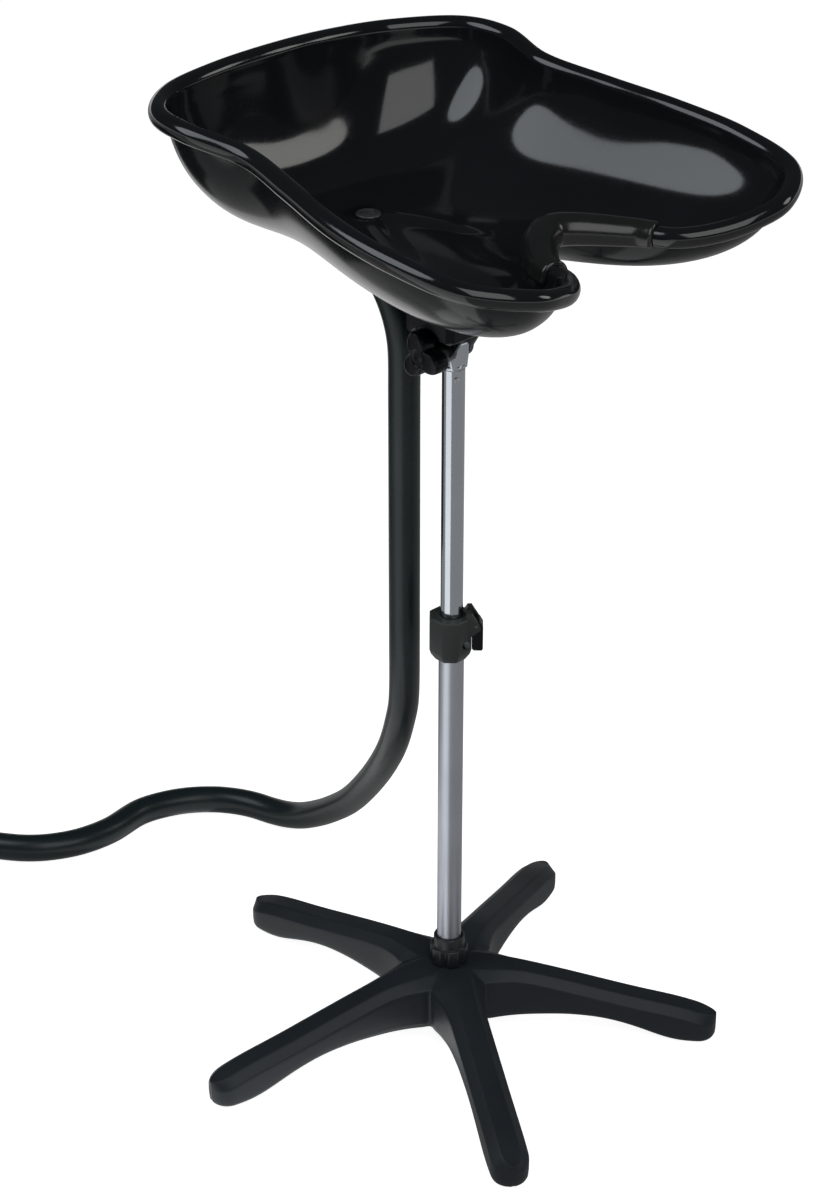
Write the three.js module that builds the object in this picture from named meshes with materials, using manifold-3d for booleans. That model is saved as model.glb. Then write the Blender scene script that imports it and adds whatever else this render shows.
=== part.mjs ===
// A free-standing salon sink: a deep moulded bowl with a rolled rim and a neck
// cut-out, carried on a two-tube column that slides, turns and tilts, on a
// five-legged moulded base. A smooth drain hose hangs from the bowl to the floor.
// Millimetres, +Z up. The client's neck is at -Y and the deep end is at +Y.

import * as THREE from 'three';
import { mergeVertices } from 'three/addons/utils/BufferGeometryUtils.js';
import Module from 'manifold-3d';

const wasm = await Module();
wasm.setup();

// Clearances and overruns
const touchGap = 0.3;
const runGap = 0.2;
const overrun = 4;

// Sides of round work, from the tubes down to the screws
const tubeSides = 20;
const midSides = 16;
const smallSides = 8;

// Base star
const legCount = 5;
const starTurn = THREE.MathUtils.degToRad(93.4);
const starReach = 280;
const starHeight = 78;
const legTipHalfWidth = 19.5;
const legRootFlare = 16;
const legWall = 3.5;
const legEdgeBevel = 8;
const ribThick = 2.6;
const hubRadius = 34;
const hubBossRadius = 18.5;
const hubFloorTop = 24;
const hubFloorThick = 6;
const glideRadius = 14;
const glideEdge = 1;
const glideStand = 2.5;
const glideSink = 3;
const glideInset = 24;

// Distance from the column, as a share of the reach, with the height of the top
// edge as a share of the star's height
const legTopShares = [
  [0, 1], [0.17, 1], [0.28, 0.97], [0.42, 0.865], [0.56, 0.75],
  [0.7, 0.635], [0.84, 0.54], [0.93, 0.455], [1, 0.35],
];
// The arched underside in the same way
const legUnderShares = [
  [0, 0.27], [0.16, 0.27], [0.3, 0.31], [0.45, 0.365], [0.58, 0.345],
  [0.68, 0.26], [0.78, 0.12], [0.85, 0.032], [1, 0.032],
];
const legStationShares = [0, 0.14, 0.28, 0.45, 0.62, 0.78, 0.85];
const tipSteps = 3;
const tipCloseShare = 0.93;
const ribPlaceShares = [0.38, 0.62];
const legFlareEndShare = 0.33;
const legTopWidthShare = 0.5;

// Hub collar
const hubCollarRadius = 19.5;
const hubCollarHeight = 32;
const hubCollarLobes = 6;
const hubCollarSteps = 6;
const hubCollarGroove = 3.2;
const hubCollarStep = 3.4;
const hubCollarStepShare = 0.62;

// Column tubes
const lowerTubeRadius = 12.5;
const lowerTubeWall = 1.2;
const lowerTubeLength = 453.7;
const upperTubeRadius = 11;
const upperTubeWall = 1.5;
const upperTubeLength = 396;
const tubeOverlap = 126;
const bushDepth = 9;
const bushStub = 18;
const bushScrewRadius = 2.4;

// Foot of the column
const plugLength = 22;
const baseBoltRadius = 4;
const baseBoltHead = 7;
const baseBoltHeadHeight = 5;
const baseWasherRadius = 11;
const washerThick = 1.6;
const baseBoltReach = 30;

// Clamp at the head of the lower tube
const clampTurn = THREE.MathUtils.degToRad(-46);
const clampGrip = 38;
const clampHeight = 47;
const clampHalfWidth = 20.5;
const clampSides = 8;
const clampTaper = 12;
const clampShoulderShare = 0.6;
const clampEdge = 1.5;
const clampFootRadius = 15.5;
const clampOffset = 1;
const clampSlot = 3;
const linerHeight = 12;
const earThick = 3.4;
const earRadius = 7.5;
const pinOut = 24.5;
const pinDrop = 8.5;
const earRise = 6;
const pinRadius = 2;
const leverHalfWidth = 7.6;
const leverDepth = 11;
const leverLength = 28;
const clampScrewRadius = 2.2;
const clampScrewDrop = 28;
const clampScrewHalf = 9.8;
const clampHeadThick = 2.4;
const clampNutRadius = 4.2;

// Tilt joint
const tiltRise = 23;
const eyeRadius = 12;
const eyeHalfThick = 9;
const headPlugLength = 30;
const headShoulder = 3;
const tiltBoltRadius = 4;
const bracketSteel = 3.5;
const bracketEarRadius = 13.5;
const tiltHeadRadius = 7;
const tiltHeadThick = 5.5;
const tiltWasherRadius = 8.5;
const knobBossRadius = 11;
const knobBossLength = 15;
const knobLobes = 3;
const knobReach = 25;
const knobWaistRadius = 12;
const knobStepsPerLobe = 10;
const knobFullness = 0.8;
const knobThick = 18;
const knobRelief = 2.5;
const knobTurn = THREE.MathUtils.degToRad(75);
const headScrewTurn = THREE.MathUtils.degToRad(-120);
const headScrewRadius = 2.6;
const headScrewDrop = 8.5;

// Pedestal and bracket under the bowl
const pedestalRise = 17;
const pedestalHeight = 76;
const pedestalEdge = 2;
const pedestalCorner = 6;
const pedestalHalfX = 37;
const pedestalHalfY = 31;
const pedestalFlare = 9;
const bracketHalfX = 28;
const bracketHalfY = 22;
const bracketScrewX = 22;
const bracketScrewY = 13;
const bracketScrewRadius = 2;
const bracketScrewHead = 4;
const bracketScrewHeadHeight = 2.4;
const bracketScrewReach = 14;

// Bowl
const rimReach = 239;
const rimHalfWidth = 222;
const rimFall = 88;
const neckRise = 44;
const lipRadius = 9.5;
const bowlWall = 4;
const floorSlopeShare = 0.035;
const drainBack = 112;
const drainSeatRadius = 30;
const drainHoleRadius = 9.6;
const wallRings = 7;
const stationsPerSpan = 2;
const stationsPerNeckSpan = 3;
const neckFineShare = 0.2;

// Half of the rim from the back round to the neck: back of the column as a share
// of rimReach, sideways as a share of rimHalfWidth, height over the neck as a
// share of rimFall
const rimShares = [
  [0.992, 0, 1], [1, 0.324, 0.966], [0.937, 0.635, 0.946], [0.736, 0.869, 0.972],
  [0.54, 0.91, 0.95], [0.289, 0.85, 0.842], [-0.008, 0.91, 0.727], [-0.31, 0.982, 0.614],
  [-0.619, 1, 0.511], [-0.904, 0.932, 0.386], [-1.025, 0.72, 0.265], [-1.008, 0.577, 0.172],
  [-0.954, 0.455, 0.091], [-0.845, 0.329, 0.023], [-0.674, 0.252, 0], [-0.481, 0, 0.034],
];
// Fullness of the wall: spread over the plan, and its loss toward both ends
const wallSpreadShare = 0.76;
const wallSpreadFrontShare = 0.09;
const wallSpreadEndShare = 0.31;
const wallRiseShare = 1.14;

// Rolled lip: its outer arc runs from the inside of the bowl over the top and
// down outside
const lipStart = Math.PI;
const lipEnd = THREE.MathUtils.degToRad(-65);
const lipSteps = 6;

// Neck pad
const padThick = 3.2;
const padCrown = 3.6;
const padReachShare = 0.1;
const padEnd = THREE.MathUtils.degToRad(-55);
const padWallRings = 2;
const padLipSteps = 6;

// Drain
const flangeRadius = 12.5;
const flangeThick = 2.6;
const flangeEdge = 1;
const flangeLand = 2;
const strainerLedge = 1.5;
const tailRadius = 9;
const tailBore = 7.4;
const tailLength = 27;
const strainerRadius = 7.2;
const strainerThick = 1.8;
const strainerSlots = 6;
const strainerSlotHalf = 0.5;
const strainerRim = 1.2;
const strainerSpreadShare = 0.75;
const gasketRadius = 15;
const gasketThick = 2.4;
const nutRadius = 17;
const nutThick = 9;
const elbowSocketRadius = 13.2;
const elbowSocketLength = 12;
const elbowBend = 20;
const elbowAngle = THREE.MathUtils.degToRad(40);
const elbowSteps = 3;
const barbRadius = 11.4;
const barbLength = 17;
const barbBore = 8.4;
const barbRings = 3;
const barbRise = 0.25;
const barbRun = 0.4;
const barbDrop = 0.8;

// Hose
const hoseRadius = 15.5;
const hoseBore = 12.7;
const hoseSides = 8;
const bandWidth = 9;
const bandThick = 1.1;
const bandAlong = 9;
const bandBoxLength = 12;
const bandBoxHeight = 6;
const hoseBack = 65;
const hoseTurnRadius = 110;
const hoseTurnSteps = 6;
// Route of the hose's middle line from where it leaves the column's side to its
// open end: sideways, back of the column, height
const hoseRoute = [
  [0, 65, 700], [0, 65, 620], [0, 65, 540], [0, 65, 470], [0, 65, 430], [13.5, 79.8, 351.5],
  [21.8, 93.4, 318.5], [35.5, 116.5, 276.4], [52.4, 147, 233.6], [84.9, 205.3, 165.8],
  [115.1, 267.6, 101.1], [124.8, 300.9, 72.1], [129.9, 333.1, 47.9], [130.8, 367, 28.1],
  [129, 392.2, 19.5], [125.9, 413.6, 16.2], [120.9, 434.7, 15.8], [113.7, 452.1, 15.8],
  [105.3, 466.1, 15.8], [95.8, 478.4, 15.8], [74.3, 497.6, 15.8], [48.3, 511.6, 15.8],
  [16.2, 519.6, 15.8], [-35.5, 514.4, 15.8], [-75.4, 521.1, 15.8], [-106.7, 536.9, 15.8],
  [-126.9, 554.5, 15.8], [-145, 579, 15.8], [-161, 606, 15.8], [-170, 640, 15.8],
  [-170, 676, 15.8], [-161, 712, 15.8], [-146, 745, 15.8],
];
const hoseStep = 30;
const straightHoseStep = 50;
const upperHoseLength = 200;
const middleHoseLength = 208;

const quarter = Math.PI / 2;
const turn = Math.PI * 2;

// Heights that follow from the pieces below them
const tubeFoot = hubFloorTop + touchGap;
const lowerTubeTop = tubeFoot + lowerTubeLength;
const clampFoot = lowerTubeTop - clampGrip;
const upperTubeFoot = lowerTubeTop - tubeOverlap;
const upperTubeTop = upperTubeFoot + upperTubeLength;
const tiltHeight = upperTubeTop + tiltRise;
const pedestalFoot = tiltHeight + pedestalRise;
const floorHeight = pedestalFoot + pedestalHeight;
const neckHeight = floorHeight + neckRise;

// Colours and finishes
const finish = (color, roughness, metalness) => new THREE.MeshStandardMaterial({
  color, roughness, metalness,
});
const looks = {
  bowl: finish(0x0b0c0e, 0.08, 0),
  moulding: finish(0x24292c, 0.55, 0),
  knob: finish(0x17191c, 0.5, 0),
  clamp: finish(0x3c4340, 0.5, 0),
  rubber: finish(0x1c1f21, 0.7, 0),
  hose: finish(0x22272a, 0.45, 0),
  pad: finish(0x2a2724, 0.35, 0),
  chrome: finish(0xd8dadd, 0.12, 1),
  satin: finish(0x9a9fa8, 0.35, 1),
  steel: finish(0xb4b8bc, 0.3, 1),
};

const sink = new THREE.Group();

function place(name, geometry, look, parent = sink) {
  const mesh = new THREE.Mesh(geometry, look);
  mesh.name = name;
  parent.add(mesh);
  return mesh;
}

// Solids: a closed geometry to and from a form that can be cut and joined

function solidOf(geometry) {
  const bare = geometry.clone();
  bare.deleteAttribute('normal');
  bare.deleteAttribute('uv');
  const merged = mergeVertices(bare, 1e-4);
  const triVerts = [];
  const index = merged.index.array;
  for (let i = 0; i < index.length; i += 3) {
    const [a, b, c] = [index[i], index[i + 1], index[i + 2]];
    if (a !== b && b !== c && c !== a) {
      triVerts.push(a, b, c);
    }
  }
  return new wasm.Manifold(new wasm.Mesh({
    numProp: 3,
    vertProperties: new Float32Array(merged.attributes.position.array),
    triVerts: new Uint32Array(triVerts),
  }));
}

function geometryOf(solid) {
  const mesh = solid.getMesh();
  const geometry = new THREE.BufferGeometry();
  const points = new Float32Array((mesh.vertProperties.length / mesh.numProp) * 3);
  for (let i = 0; i * mesh.numProp < mesh.vertProperties.length; i += 1) {
    points.set(mesh.vertProperties.subarray(i * mesh.numProp, i * mesh.numProp + 3), i * 3);
  }
  geometry.setAttribute('position', new THREE.BufferAttribute(points, 3));
  geometry.setIndex(new THREE.BufferAttribute(new Uint32Array(mesh.triVerts), 1));
  geometry.computeVertexNormals();
  return geometry;
}

const joined = (solids) => solids.reduce((whole, solid) => whole.add(solid));
const cutBy = (solid, tools) => tools.reduce((whole, tool) => whole.subtract(tool), solid);

// A round solid about Z from a closed profile of [radius, height] corners, which
// goes up on the outside
function revolved(corners, sides) {
  const profile = [...corners, corners[0]].map(([r, z]) => new THREE.Vector2(r, z));
  return new THREE.LatheGeometry(profile, sides).rotateX(quarter);
}

const disc = (radius, low, high, sides) => revolved(
  [[0, low], [radius, low], [radius, high], [0, high]],
  sides,
);

const ring = (outer, inner, low, high, sides) => revolved(
  [[inner, low], [outer, low], [outer, high], [inner, high]],
  sides,
);

const hexNut = (outer, bore, low, high) => geometryOf(solidOf(disc(outer, low, high, 6))
  .subtract(solidOf(disc(bore, low - overrun, high + overrun, midSides))));

const block = (halfX, halfY, low, high) => new THREE.BoxGeometry(2 * halfX, 2 * halfY, high - low)
  .translate(0, 0, (low + high) / 2);

function outline(points) {
  return new THREE.Shape(points.map(([x, y]) => new THREE.Vector2(x, y)));
}

const slab = (shape, depth, curveSegments = smallSides) => new THREE.ExtrudeGeometry(shape, {
  depth, bevelEnabled: false, curveSegments,
});

// A surface over rows of points. Each row closes on itself. The rows either close
// on each other or end in flat fans.
function skinOver(rows, closedRows) {
  const width = rows[0].length;
  const points = rows.flat();
  const index = [];
  const last = closedRows ? rows.length : rows.length - 1;
  for (let i = 0; i < last; i += 1) {
    const next = (i + 1) % rows.length;
    for (let k = 0; k < width; k += 1) {
      const [a, b] = [i * width + k, i * width + ((k + 1) % width)];
      const [c, d] = [next * width + k, next * width + ((k + 1) % width)];
      index.push(a, b, d, a, d, c);
    }
  }
  if (!closedRows) {
    [[0, 1], [rows.length - 1, -1]].forEach(([row, side]) => {
      const middle = rows[row].reduce((sum, p) => sum.add(p), new THREE.Vector3())
        .divideScalar(width);
      points.push(middle);
      for (let k = 0; k < width; k += 1) {
        const pair = [row * width + k, row * width + ((k + 1) % width)];
        index.push(points.length - 1, ...(side > 0 ? pair.reverse() : pair));
      }
    });
  }
  const geometry = new THREE.BufferGeometry();
  geometry.setFromPoints(points);
  geometry.setIndex(index);
  const whole = solidOf(geometry);
  if (whole.volume() < 0) {
    geometry.setIndex(index.reverse());
  }
  geometry.computeVertexNormals();
  return geometry;
}

// Reads a height off a table of shares with straight runs between its rows
function shareAt(table, place01) {
  const after = Math.max(1, table.findIndex(([at]) => at >= place01));
  const [[x0, y0], [x1, y1]] = [table[after - 1], table[after]];
  return y0 + ((y1 - y0) * (place01 - x0)) / (x1 - x0);
}

// Base star: five lofted legs round a hub, hollow and ribbed from below

const hubTop = starHeight;
const tipCentre = starReach - legTipHalfWidth;
const legBottomAt = (along) => Math.max(
  glideStand,
  shareAt(legUnderShares, along / starReach) * starHeight,
);
const legTopAt = (along) => shareAt(legTopShares, along / starReach) * starHeight;

function legHalfWidthAt(along) {
  const flareEnd = legFlareEndShare * starReach;
  const flare = Math.max(0, (flareEnd - along) / flareEnd);
  return legTipHalfWidth + 2 * legRootFlare * flare * flare;
}

// One cross-section of a leg, drawn in by the given wall
function legSection(along, wall, halfWidth, low) {
  const top = legTopAt(along) - wall;
  const wide = halfWidth - wall;
  const narrow = wide * legTopWidthShare;
  const side = top - Math.min(legEdgeBevel, (top - low) / 2);
  return [
    [-wide, low], [wide, low], [wide, side], [narrow, top], [-narrow, top], [-wide, side],
  ].map(([y, z]) => new THREE.Vector3(along, y, z));
}

function legOuter() {
  const rows = legStationShares.map((share) => {
    const along = share * starReach;
    return legSection(along, 0, legHalfWidthAt(along), legBottomAt(along));
  });
  for (let step = 0; step <= tipSteps; step += 1) {
    const angle = (quarter * tipCloseShare * step) / tipSteps;
    const along = tipCentre + legTipHalfWidth * Math.sin(angle);
    rows.push(legSection(along, 0, legTipHalfWidth * Math.cos(angle), legBottomAt(along)));
  }
  return solidOf(skinOver(rows, false));
}

function legHollow() {
  const rows = legStationShares.slice(1).map((share) => {
    const along = share * starReach - legWall;
    return legSection(along, legWall, legHalfWidthAt(along), -overrun);
  });
  const ribs = ribPlaceShares.map((share) => solidOf(
    block(ribThick / 2, legTipHalfWidth + legRootFlare, 0, starHeight)
      .translate(share * starReach, 0, 0),
  ));
  const spine = solidOf(block(starReach, ribThick / 2, legEdgeBevel, starHeight));
  return cutBy(solidOf(skinOver(rows, false)), [...ribs, spine]);
}

const glideAlong = starReach - glideInset;
const glideHole = solidOf(disc(
  glideRadius + touchGap,
  glideStand - overrun,
  glideStand + glideSink + touchGap,
  midSides,
)).translate([glideAlong, 0, 0]);
const legAngles = Array.from({ length: legCount }, (_, k) => starTurn + (turn * k) / legCount);
const degrees = (angle) => THREE.MathUtils.radToDeg(angle);
const roundTheColumn = (solid) => legAngles.map((angle) => solid.rotate([0, 0, degrees(angle)]));

const tubeSeatRadius = lowerTubeRadius + touchGap;
const hubFloorUnder = hubFloorTop - hubFloorThick;
const hubHollow = solidOf(disc(hubRadius, -overrun, starHeight - legWall, midSides));
const starBody = joined([
  solidOf(disc(hubRadius + legWall, legBottomAt(0), hubTop, midSides)),
  solidOf(disc(hubBossRadius + overrun, hubFloorUnder, hubTop, midSides)),
  ...roundTheColumn(legOuter()),
]);
const starHollow = joined([
  ...roundTheColumn(legHollow()),
  hubHollow,
]).subtract(solidOf(disc(hubBossRadius, -overrun, starHeight + overrun, midSides)));
const hubRibs = joined(roundTheColumn(
  solidOf(block(starReach / 2, ribThick / 2, legEdgeBevel, starHeight - legWall))
    .translate([starReach / 2, 0, 0])
    .intersect(solidOf(disc(hubRadius + legRootFlare, 0, starHeight, midSides))),
));
const starSolid = cutBy(starBody.subtract(starHollow.subtract(hubRibs)), [
  ...roundTheColumn(glideHole),
  solidOf(disc(tubeSeatRadius, hubFloorTop, starHeight + overrun, tubeSides)),
  solidOf(disc(baseBoltRadius + touchGap, -overrun, starHeight, smallSides)),
]);
place('base_star', geometryOf(starSolid), looks.moulding);

legAngles.forEach((angle, k) => {
  const glide = place(
    `glide_${k + 1}`,
    revolved([
      [0, 0], [glideRadius - glideEdge, 0], [glideRadius, glideStand / 2],
      [glideRadius, glideStand + glideSink], [0, glideStand + glideSink],
    ], midSides),
    looks.rubber,
  );
  glide.position.set(glideAlong * Math.cos(angle), glideAlong * Math.sin(angle), 0);
});

// Foot of the column: the tube stands on the hub's floor, with a plug in its end
// that the base bolt draws down

const lowerTubeBore = lowerTubeRadius - lowerTubeWall;
place(
  'lower_tube',
  ring(lowerTubeRadius, lowerTubeBore, tubeFoot, lowerTubeTop, tubeSides),
  looks.satin,
);
place(
  'tube_plug',
  ring(
    lowerTubeBore - touchGap,
    baseBoltRadius + touchGap,
    tubeFoot,
    tubeFoot + plugLength,
    midSides,
  ),
  looks.knob,
);
const washerUnder = hubFloorUnder - touchGap - washerThick;
place(
  'base_washer',
  ring(
    baseWasherRadius,
    baseBoltRadius + touchGap,
    washerUnder,
    washerUnder + washerThick,
    midSides,
  ),
  looks.steel,
);
const boltHeadTop = washerUnder - touchGap;
const baseBolt = solidOf(disc(baseBoltHead, boltHeadTop - baseBoltHeadHeight, boltHeadTop, 6)).add(
  solidOf(disc(baseBoltRadius, boltHeadTop - overrun, boltHeadTop + baseBoltReach, smallSides)),
);
place('base_bolt', geometryOf(baseBolt), looks.steel);

// Hub collar: a lobed nut round the foot of the tube

function lobedOutline(radius, lobes, groove) {
  const points = [];
  const steps = lobes * hubCollarSteps;
  for (let k = 0; k < steps; k += 1) {
    const angle = (turn * k) / steps;
    const dip = Math.max(0, -Math.cos(lobes * angle)) ** 2;
    const reach = radius - groove * dip;
    points.push([reach * Math.cos(angle), reach * Math.sin(angle)]);
  }
  return outline(points);
}

const collarFoot = hubTop + touchGap;
const collarStepHeight = hubCollarHeight * hubCollarStepShare;
const hubCollar = solidOf(slab(
  lobedOutline(hubCollarRadius, hubCollarLobes, hubCollarGroove),
  collarStepHeight,
)).add(solidOf(disc(hubCollarRadius - hubCollarStep, 0, hubCollarHeight, tubeSides)))
  .translate([0, 0, collarFoot])
  .subtract(solidOf(disc(
    tubeSeatRadius,
    hubTop - overrun,
    collarFoot + hubCollarHeight + overrun,
    tubeSides,
  )));
place('hub_collar', geometryOf(hubCollar), looks.knob);

// Column clamp: a split eight-sided collar on the lower tube, closed by a cam lever

const clamp = new THREE.Group();
clamp.rotation.z = clampTurn;
sink.add(clamp);

const clampTop = clampFoot + clampHeight;
const clampRing = (radius, z) => Array.from({ length: clampSides }, (_, k) => {
  const angle = (turn * (k + 0.5)) / clampSides;
  return new THREE.Vector3(radius * Math.cos(angle), radius * Math.sin(angle), z);
});
const clampCorner = clampHalfWidth / Math.cos(Math.PI / clampSides);
const clampBlock = solidOf(skinOver([
  clampRing(clampFootRadius, clampFoot),
  clampRing(clampCorner - clampEdge, clampFoot + clampTaper * clampShoulderShare),
  clampRing(clampCorner, clampFoot + clampTaper),
  clampRing(clampCorner, clampTop - clampEdge),
  clampRing(clampCorner - clampEdge, clampTop),
], false)).translate([-clampOffset, 0, 0]);

const pinHeight = clampTop - pinDrop;
const flank = clampHalfWidth - clampOffset;
const earInner = leverHalfWidth + touchGap;
const earOuter = earInner + earThick;
const earProfile = outline([
  [0, clampTop - 3 * earRadius], [flank - overrun, clampTop - 3 * earRadius],
  [pinOut + earRadius / 2, pinHeight - earRadius / 2], [pinOut + earRadius / 2, pinHeight],
  [flank, clampTop + earRise], [flank - overrun, clampTop + earRise],
  [flank - 2 * overrun, clampTop], [0, clampTop],
]);
// A slab drawn in X and Z stands across Y when it is turned up
const uprightSlab = (shape, halfDepth, curveSegments) => slab(shape, 2 * halfDepth, curveSegments)
  .rotateX(quarter).translate(0, halfDepth, 0);
const ears = solidOf(uprightSlab(earProfile, earOuter))
  .subtract(solidOf(block(starReach, earInner, clampFoot, clampTop + 2 * earRise))
    .translate([starReach + flank - touchGap, 0, 0]));
const acrossY = (geometry) => geometry.rotateX(quarter);
const alongX = (geometry) => geometry.rotateY(quarter);

const screwHeight = clampTop - clampScrewDrop;
const clampScrewX = lowerTubeRadius + clampScrewRadius + touchGap;
const clampBody = cutBy(clampBlock.add(ears), [
  solidOf(disc(tubeSeatRadius, clampFoot - overrun, lowerTubeTop + touchGap, tubeSides)),
  solidOf(disc(
    upperTubeRadius + runGap + lowerTubeWall,
    clampFoot,
    clampTop + 2 * earRise,
    tubeSides,
  )),
  solidOf(block(clampHalfWidth, clampSlot / 2, clampFoot - overrun, clampTop + 2 * earRise))
    .translate([clampHalfWidth, 0, 0]),
  solidOf(acrossY(disc(pinRadius + touchGap, -clampHalfWidth, clampHalfWidth, smallSides)))
    .translate([pinOut, 0, pinHeight]),
  solidOf(acrossY(disc(
    clampScrewRadius + touchGap,
    -2 * clampHalfWidth,
    2 * clampHalfWidth,
    smallSides,
  ))).translate([clampScrewX, 0, screwHeight]),
  ...[1, -1].map((hand) => solidOf(acrossY(disc(
    clampNutRadius + touchGap,
    clampScrewHalf - touchGap,
    clampHalfWidth + overrun,
    midSides,
  ))).rotate([0, 0, hand > 0 ? 0 : 180]).translate([clampScrewX, 0, screwHeight])),
]);
place('clamp_collar', geometryOf(clampBody), looks.clamp, clamp);

const linerRadius = upperTubeRadius + runGap + lowerTubeWall - touchGap / 2;
place(
  'clamp_liner',
  ring(
    linerRadius,
    upperTubeRadius + runGap,
    lowerTubeTop + 2 * touchGap,
    Math.min(lowerTubeTop + 2 * touchGap + linerHeight, clampTop - touchGap),
    tubeSides,
  ),
  looks.rubber,
  clamp,
);
place(
  'clamp_pin',
  acrossY(disc(pinRadius, -earOuter, earOuter, smallSides)).translate(pinOut, 0, pinHeight),
  looks.steel,
  clamp,
);

const clampScrewEnd = clampScrewHalf + clampHeadThick;
const clampScrew = solidOf(disc(clampScrewRadius, -clampScrewEnd, clampScrewEnd, smallSides))
  .add(solidOf(disc(clampNutRadius, clampScrewHalf, clampScrewEnd, smallSides)));
place(
  'clamp_screw',
  acrossY(geometryOf(clampScrew)).translate(clampScrewX, 0, screwHeight),
  looks.steel,
  clamp,
);
place(
  'clamp_nut',
  acrossY(hexNut(
    clampNutRadius,
    clampScrewRadius + touchGap,
    -clampScrewEnd,
    -clampScrewHalf,
  )).translate(clampScrewX, 0, screwHeight),
  looks.steel,
  clamp,
);

// The lever hangs down against the collar's flank when it is closed
const leverIn = flank + touchGap;
const leverOut = leverIn + leverDepth;
const leverTip = pinHeight - leverLength;
const leverProfile = new THREE.Shape();
leverProfile.moveTo(leverIn, leverTip + pinRadius);
leverProfile.lineTo(leverIn + pinRadius, leverTip);
leverProfile.lineTo(leverOut - pinRadius / 2, leverTip);
leverProfile.lineTo(leverOut, leverTip + pinRadius);
leverProfile.lineTo(leverOut, pinHeight - pinRadius);
leverProfile.absarc(pinOut, pinHeight, pinOut - leverIn, quarter / 2, Math.PI, false);
leverProfile.lineTo(leverIn, leverTip + pinRadius);
const lever = solidOf(uprightSlab(leverProfile, leverHalfWidth)).subtract(
  solidOf(acrossY(disc(pinRadius + runGap, -clampHalfWidth, clampHalfWidth, smallSides)))
    .translate([pinOut, 0, pinHeight]),
);
place('clamp_lever', geometryOf(lever), looks.knob, clamp);

// Upper tube with the guide bush at its foot

const upperTubeBore = upperTubeRadius - upperTubeWall;
place(
  'upper_tube',
  ring(upperTubeRadius, upperTubeBore, upperTubeFoot, upperTubeTop, tubeSides),
  looks.chrome,
);
const bushTop = upperTubeFoot - runGap;
place(
  'column_bush',
  revolved([
    [bushScrewRadius, bushTop - bushDepth], [lowerTubeBore - runGap, bushTop - bushDepth],
    [lowerTubeBore - runGap, bushTop], [upperTubeBore - runGap, bushTop],
    [upperTubeBore - runGap, bushTop + bushStub], [bushScrewRadius, bushTop + bushStub],
  ], tubeSides),
  looks.rubber,
);

// Tube head: a plug in the tube's top with a flat eye for the tilt bolt

const shoulderFoot = upperTubeTop + touchGap;
const eyeBody = new THREE.Shape();
eyeBody.moveTo(-eyeHalfThick, shoulderFoot);
eyeBody.lineTo(eyeHalfThick, shoulderFoot);
eyeBody.lineTo(eyeRadius, tiltHeight);
eyeBody.absarc(0, tiltHeight, eyeRadius, 0, Math.PI, false);
eyeBody.lineTo(-eyeHalfThick, shoulderFoot);
// Drawn in Y and Z and carried across X
const crossSlab = (shape, halfDepth) => slab(shape, 2 * halfDepth, smallSides)
  .rotateX(quarter).rotateZ(quarter).translate(-halfDepth, 0, 0);
const boltHole = (radius, half) => solidOf(alongX(disc(radius, -half, half, midSides)))
  .translate([0, 0, tiltHeight]);
const screwAcross = (radius, from, to, angle, z) => solidOf(
  alongX(disc(radius, from, to, smallSides)),
).rotate([0, 0, degrees(angle)]).translate([0, 0, z]);
const headScrewHeight = upperTubeTop - headScrewDrop;
const headSolid = cutBy(joined([
  solidOf(disc(
    upperTubeBore - touchGap,
    upperTubeTop - headPlugLength,
    shoulderFoot + headShoulder / 2,
    tubeSides,
  )),
  solidOf(disc(upperTubeRadius, shoulderFoot, shoulderFoot + headShoulder, tubeSides)),
  solidOf(crossSlab(eyeBody, eyeHalfThick)),
]), [
  boltHole(tiltBoltRadius + runGap, 2 * eyeRadius),
  screwAcross(
    headScrewRadius / 2 + touchGap,
    0,
    2 * upperTubeRadius,
    headScrewTurn,
    headScrewHeight,
  ),
]);
place('tube_head', geometryOf(headSolid), looks.chrome);

// The tube is drilled for the screw, and the screw's flat head stands on it
const drilledTube = solidOf(
  ring(upperTubeRadius, upperTubeBore, upperTubeFoot, upperTubeTop, tubeSides),
).subtract(screwAcross(
  headScrewRadius / 2 + touchGap,
  0,
  2 * upperTubeRadius,
  headScrewTurn,
  headScrewHeight,
));
sink.getObjectByName('upper_tube').geometry = geometryOf(drilledTube);
const headScrew = screwAcross(
  headScrewRadius / 2,
  upperTubeBore / 2,
  upperTubeRadius + touchGap + headScrewRadius / 4,
  headScrewTurn,
  headScrewHeight,
).add(screwAcross(
  headScrewRadius,
  upperTubeRadius + touchGap,
  upperTubeRadius + touchGap + headScrewRadius / 2,
  headScrewTurn,
  headScrewHeight,
));
place('head_screw', geometryOf(headScrew), looks.steel);

// Bowl: the rim is a closed smooth line in space, and the shell is lofted between
// it and the drain hole, with a rolled lip all the way round

const rimPoint = ([back, side, height], hand) => new THREE.Vector3(
  hand * side * rimHalfWidth,
  back * rimReach,
  neckHeight + height * rimFall,
);
const rimStations = [
  ...rimShares.map((share) => rimPoint(share, 1)),
  ...rimShares.slice(1, -1).reverse().map((share) => rimPoint(share, -1)),
];
const rimLine = new THREE.CatmullRomCurve3(rimStations, true, 'centripetal');
const spans = rimStations.length;
const neckSpan = rimShares.length - 1;
const stationSpans = [];
for (let span = 0; span < spans; span += 1) {
  const toNeck = Math.min(Math.abs(span - neckSpan), Math.abs(span + 1 - neckSpan));
  const parts = toNeck < neckFineShare * neckSpan ? stationsPerNeckSpan : stationsPerSpan;
  for (let part = 0; part < parts; part += 1) {
    stationSpans.push(span + part / parts);
  }
}
const stationCount = stationSpans.length;
const drainCentre = new THREE.Vector3(0, drainBack, 0);

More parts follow.
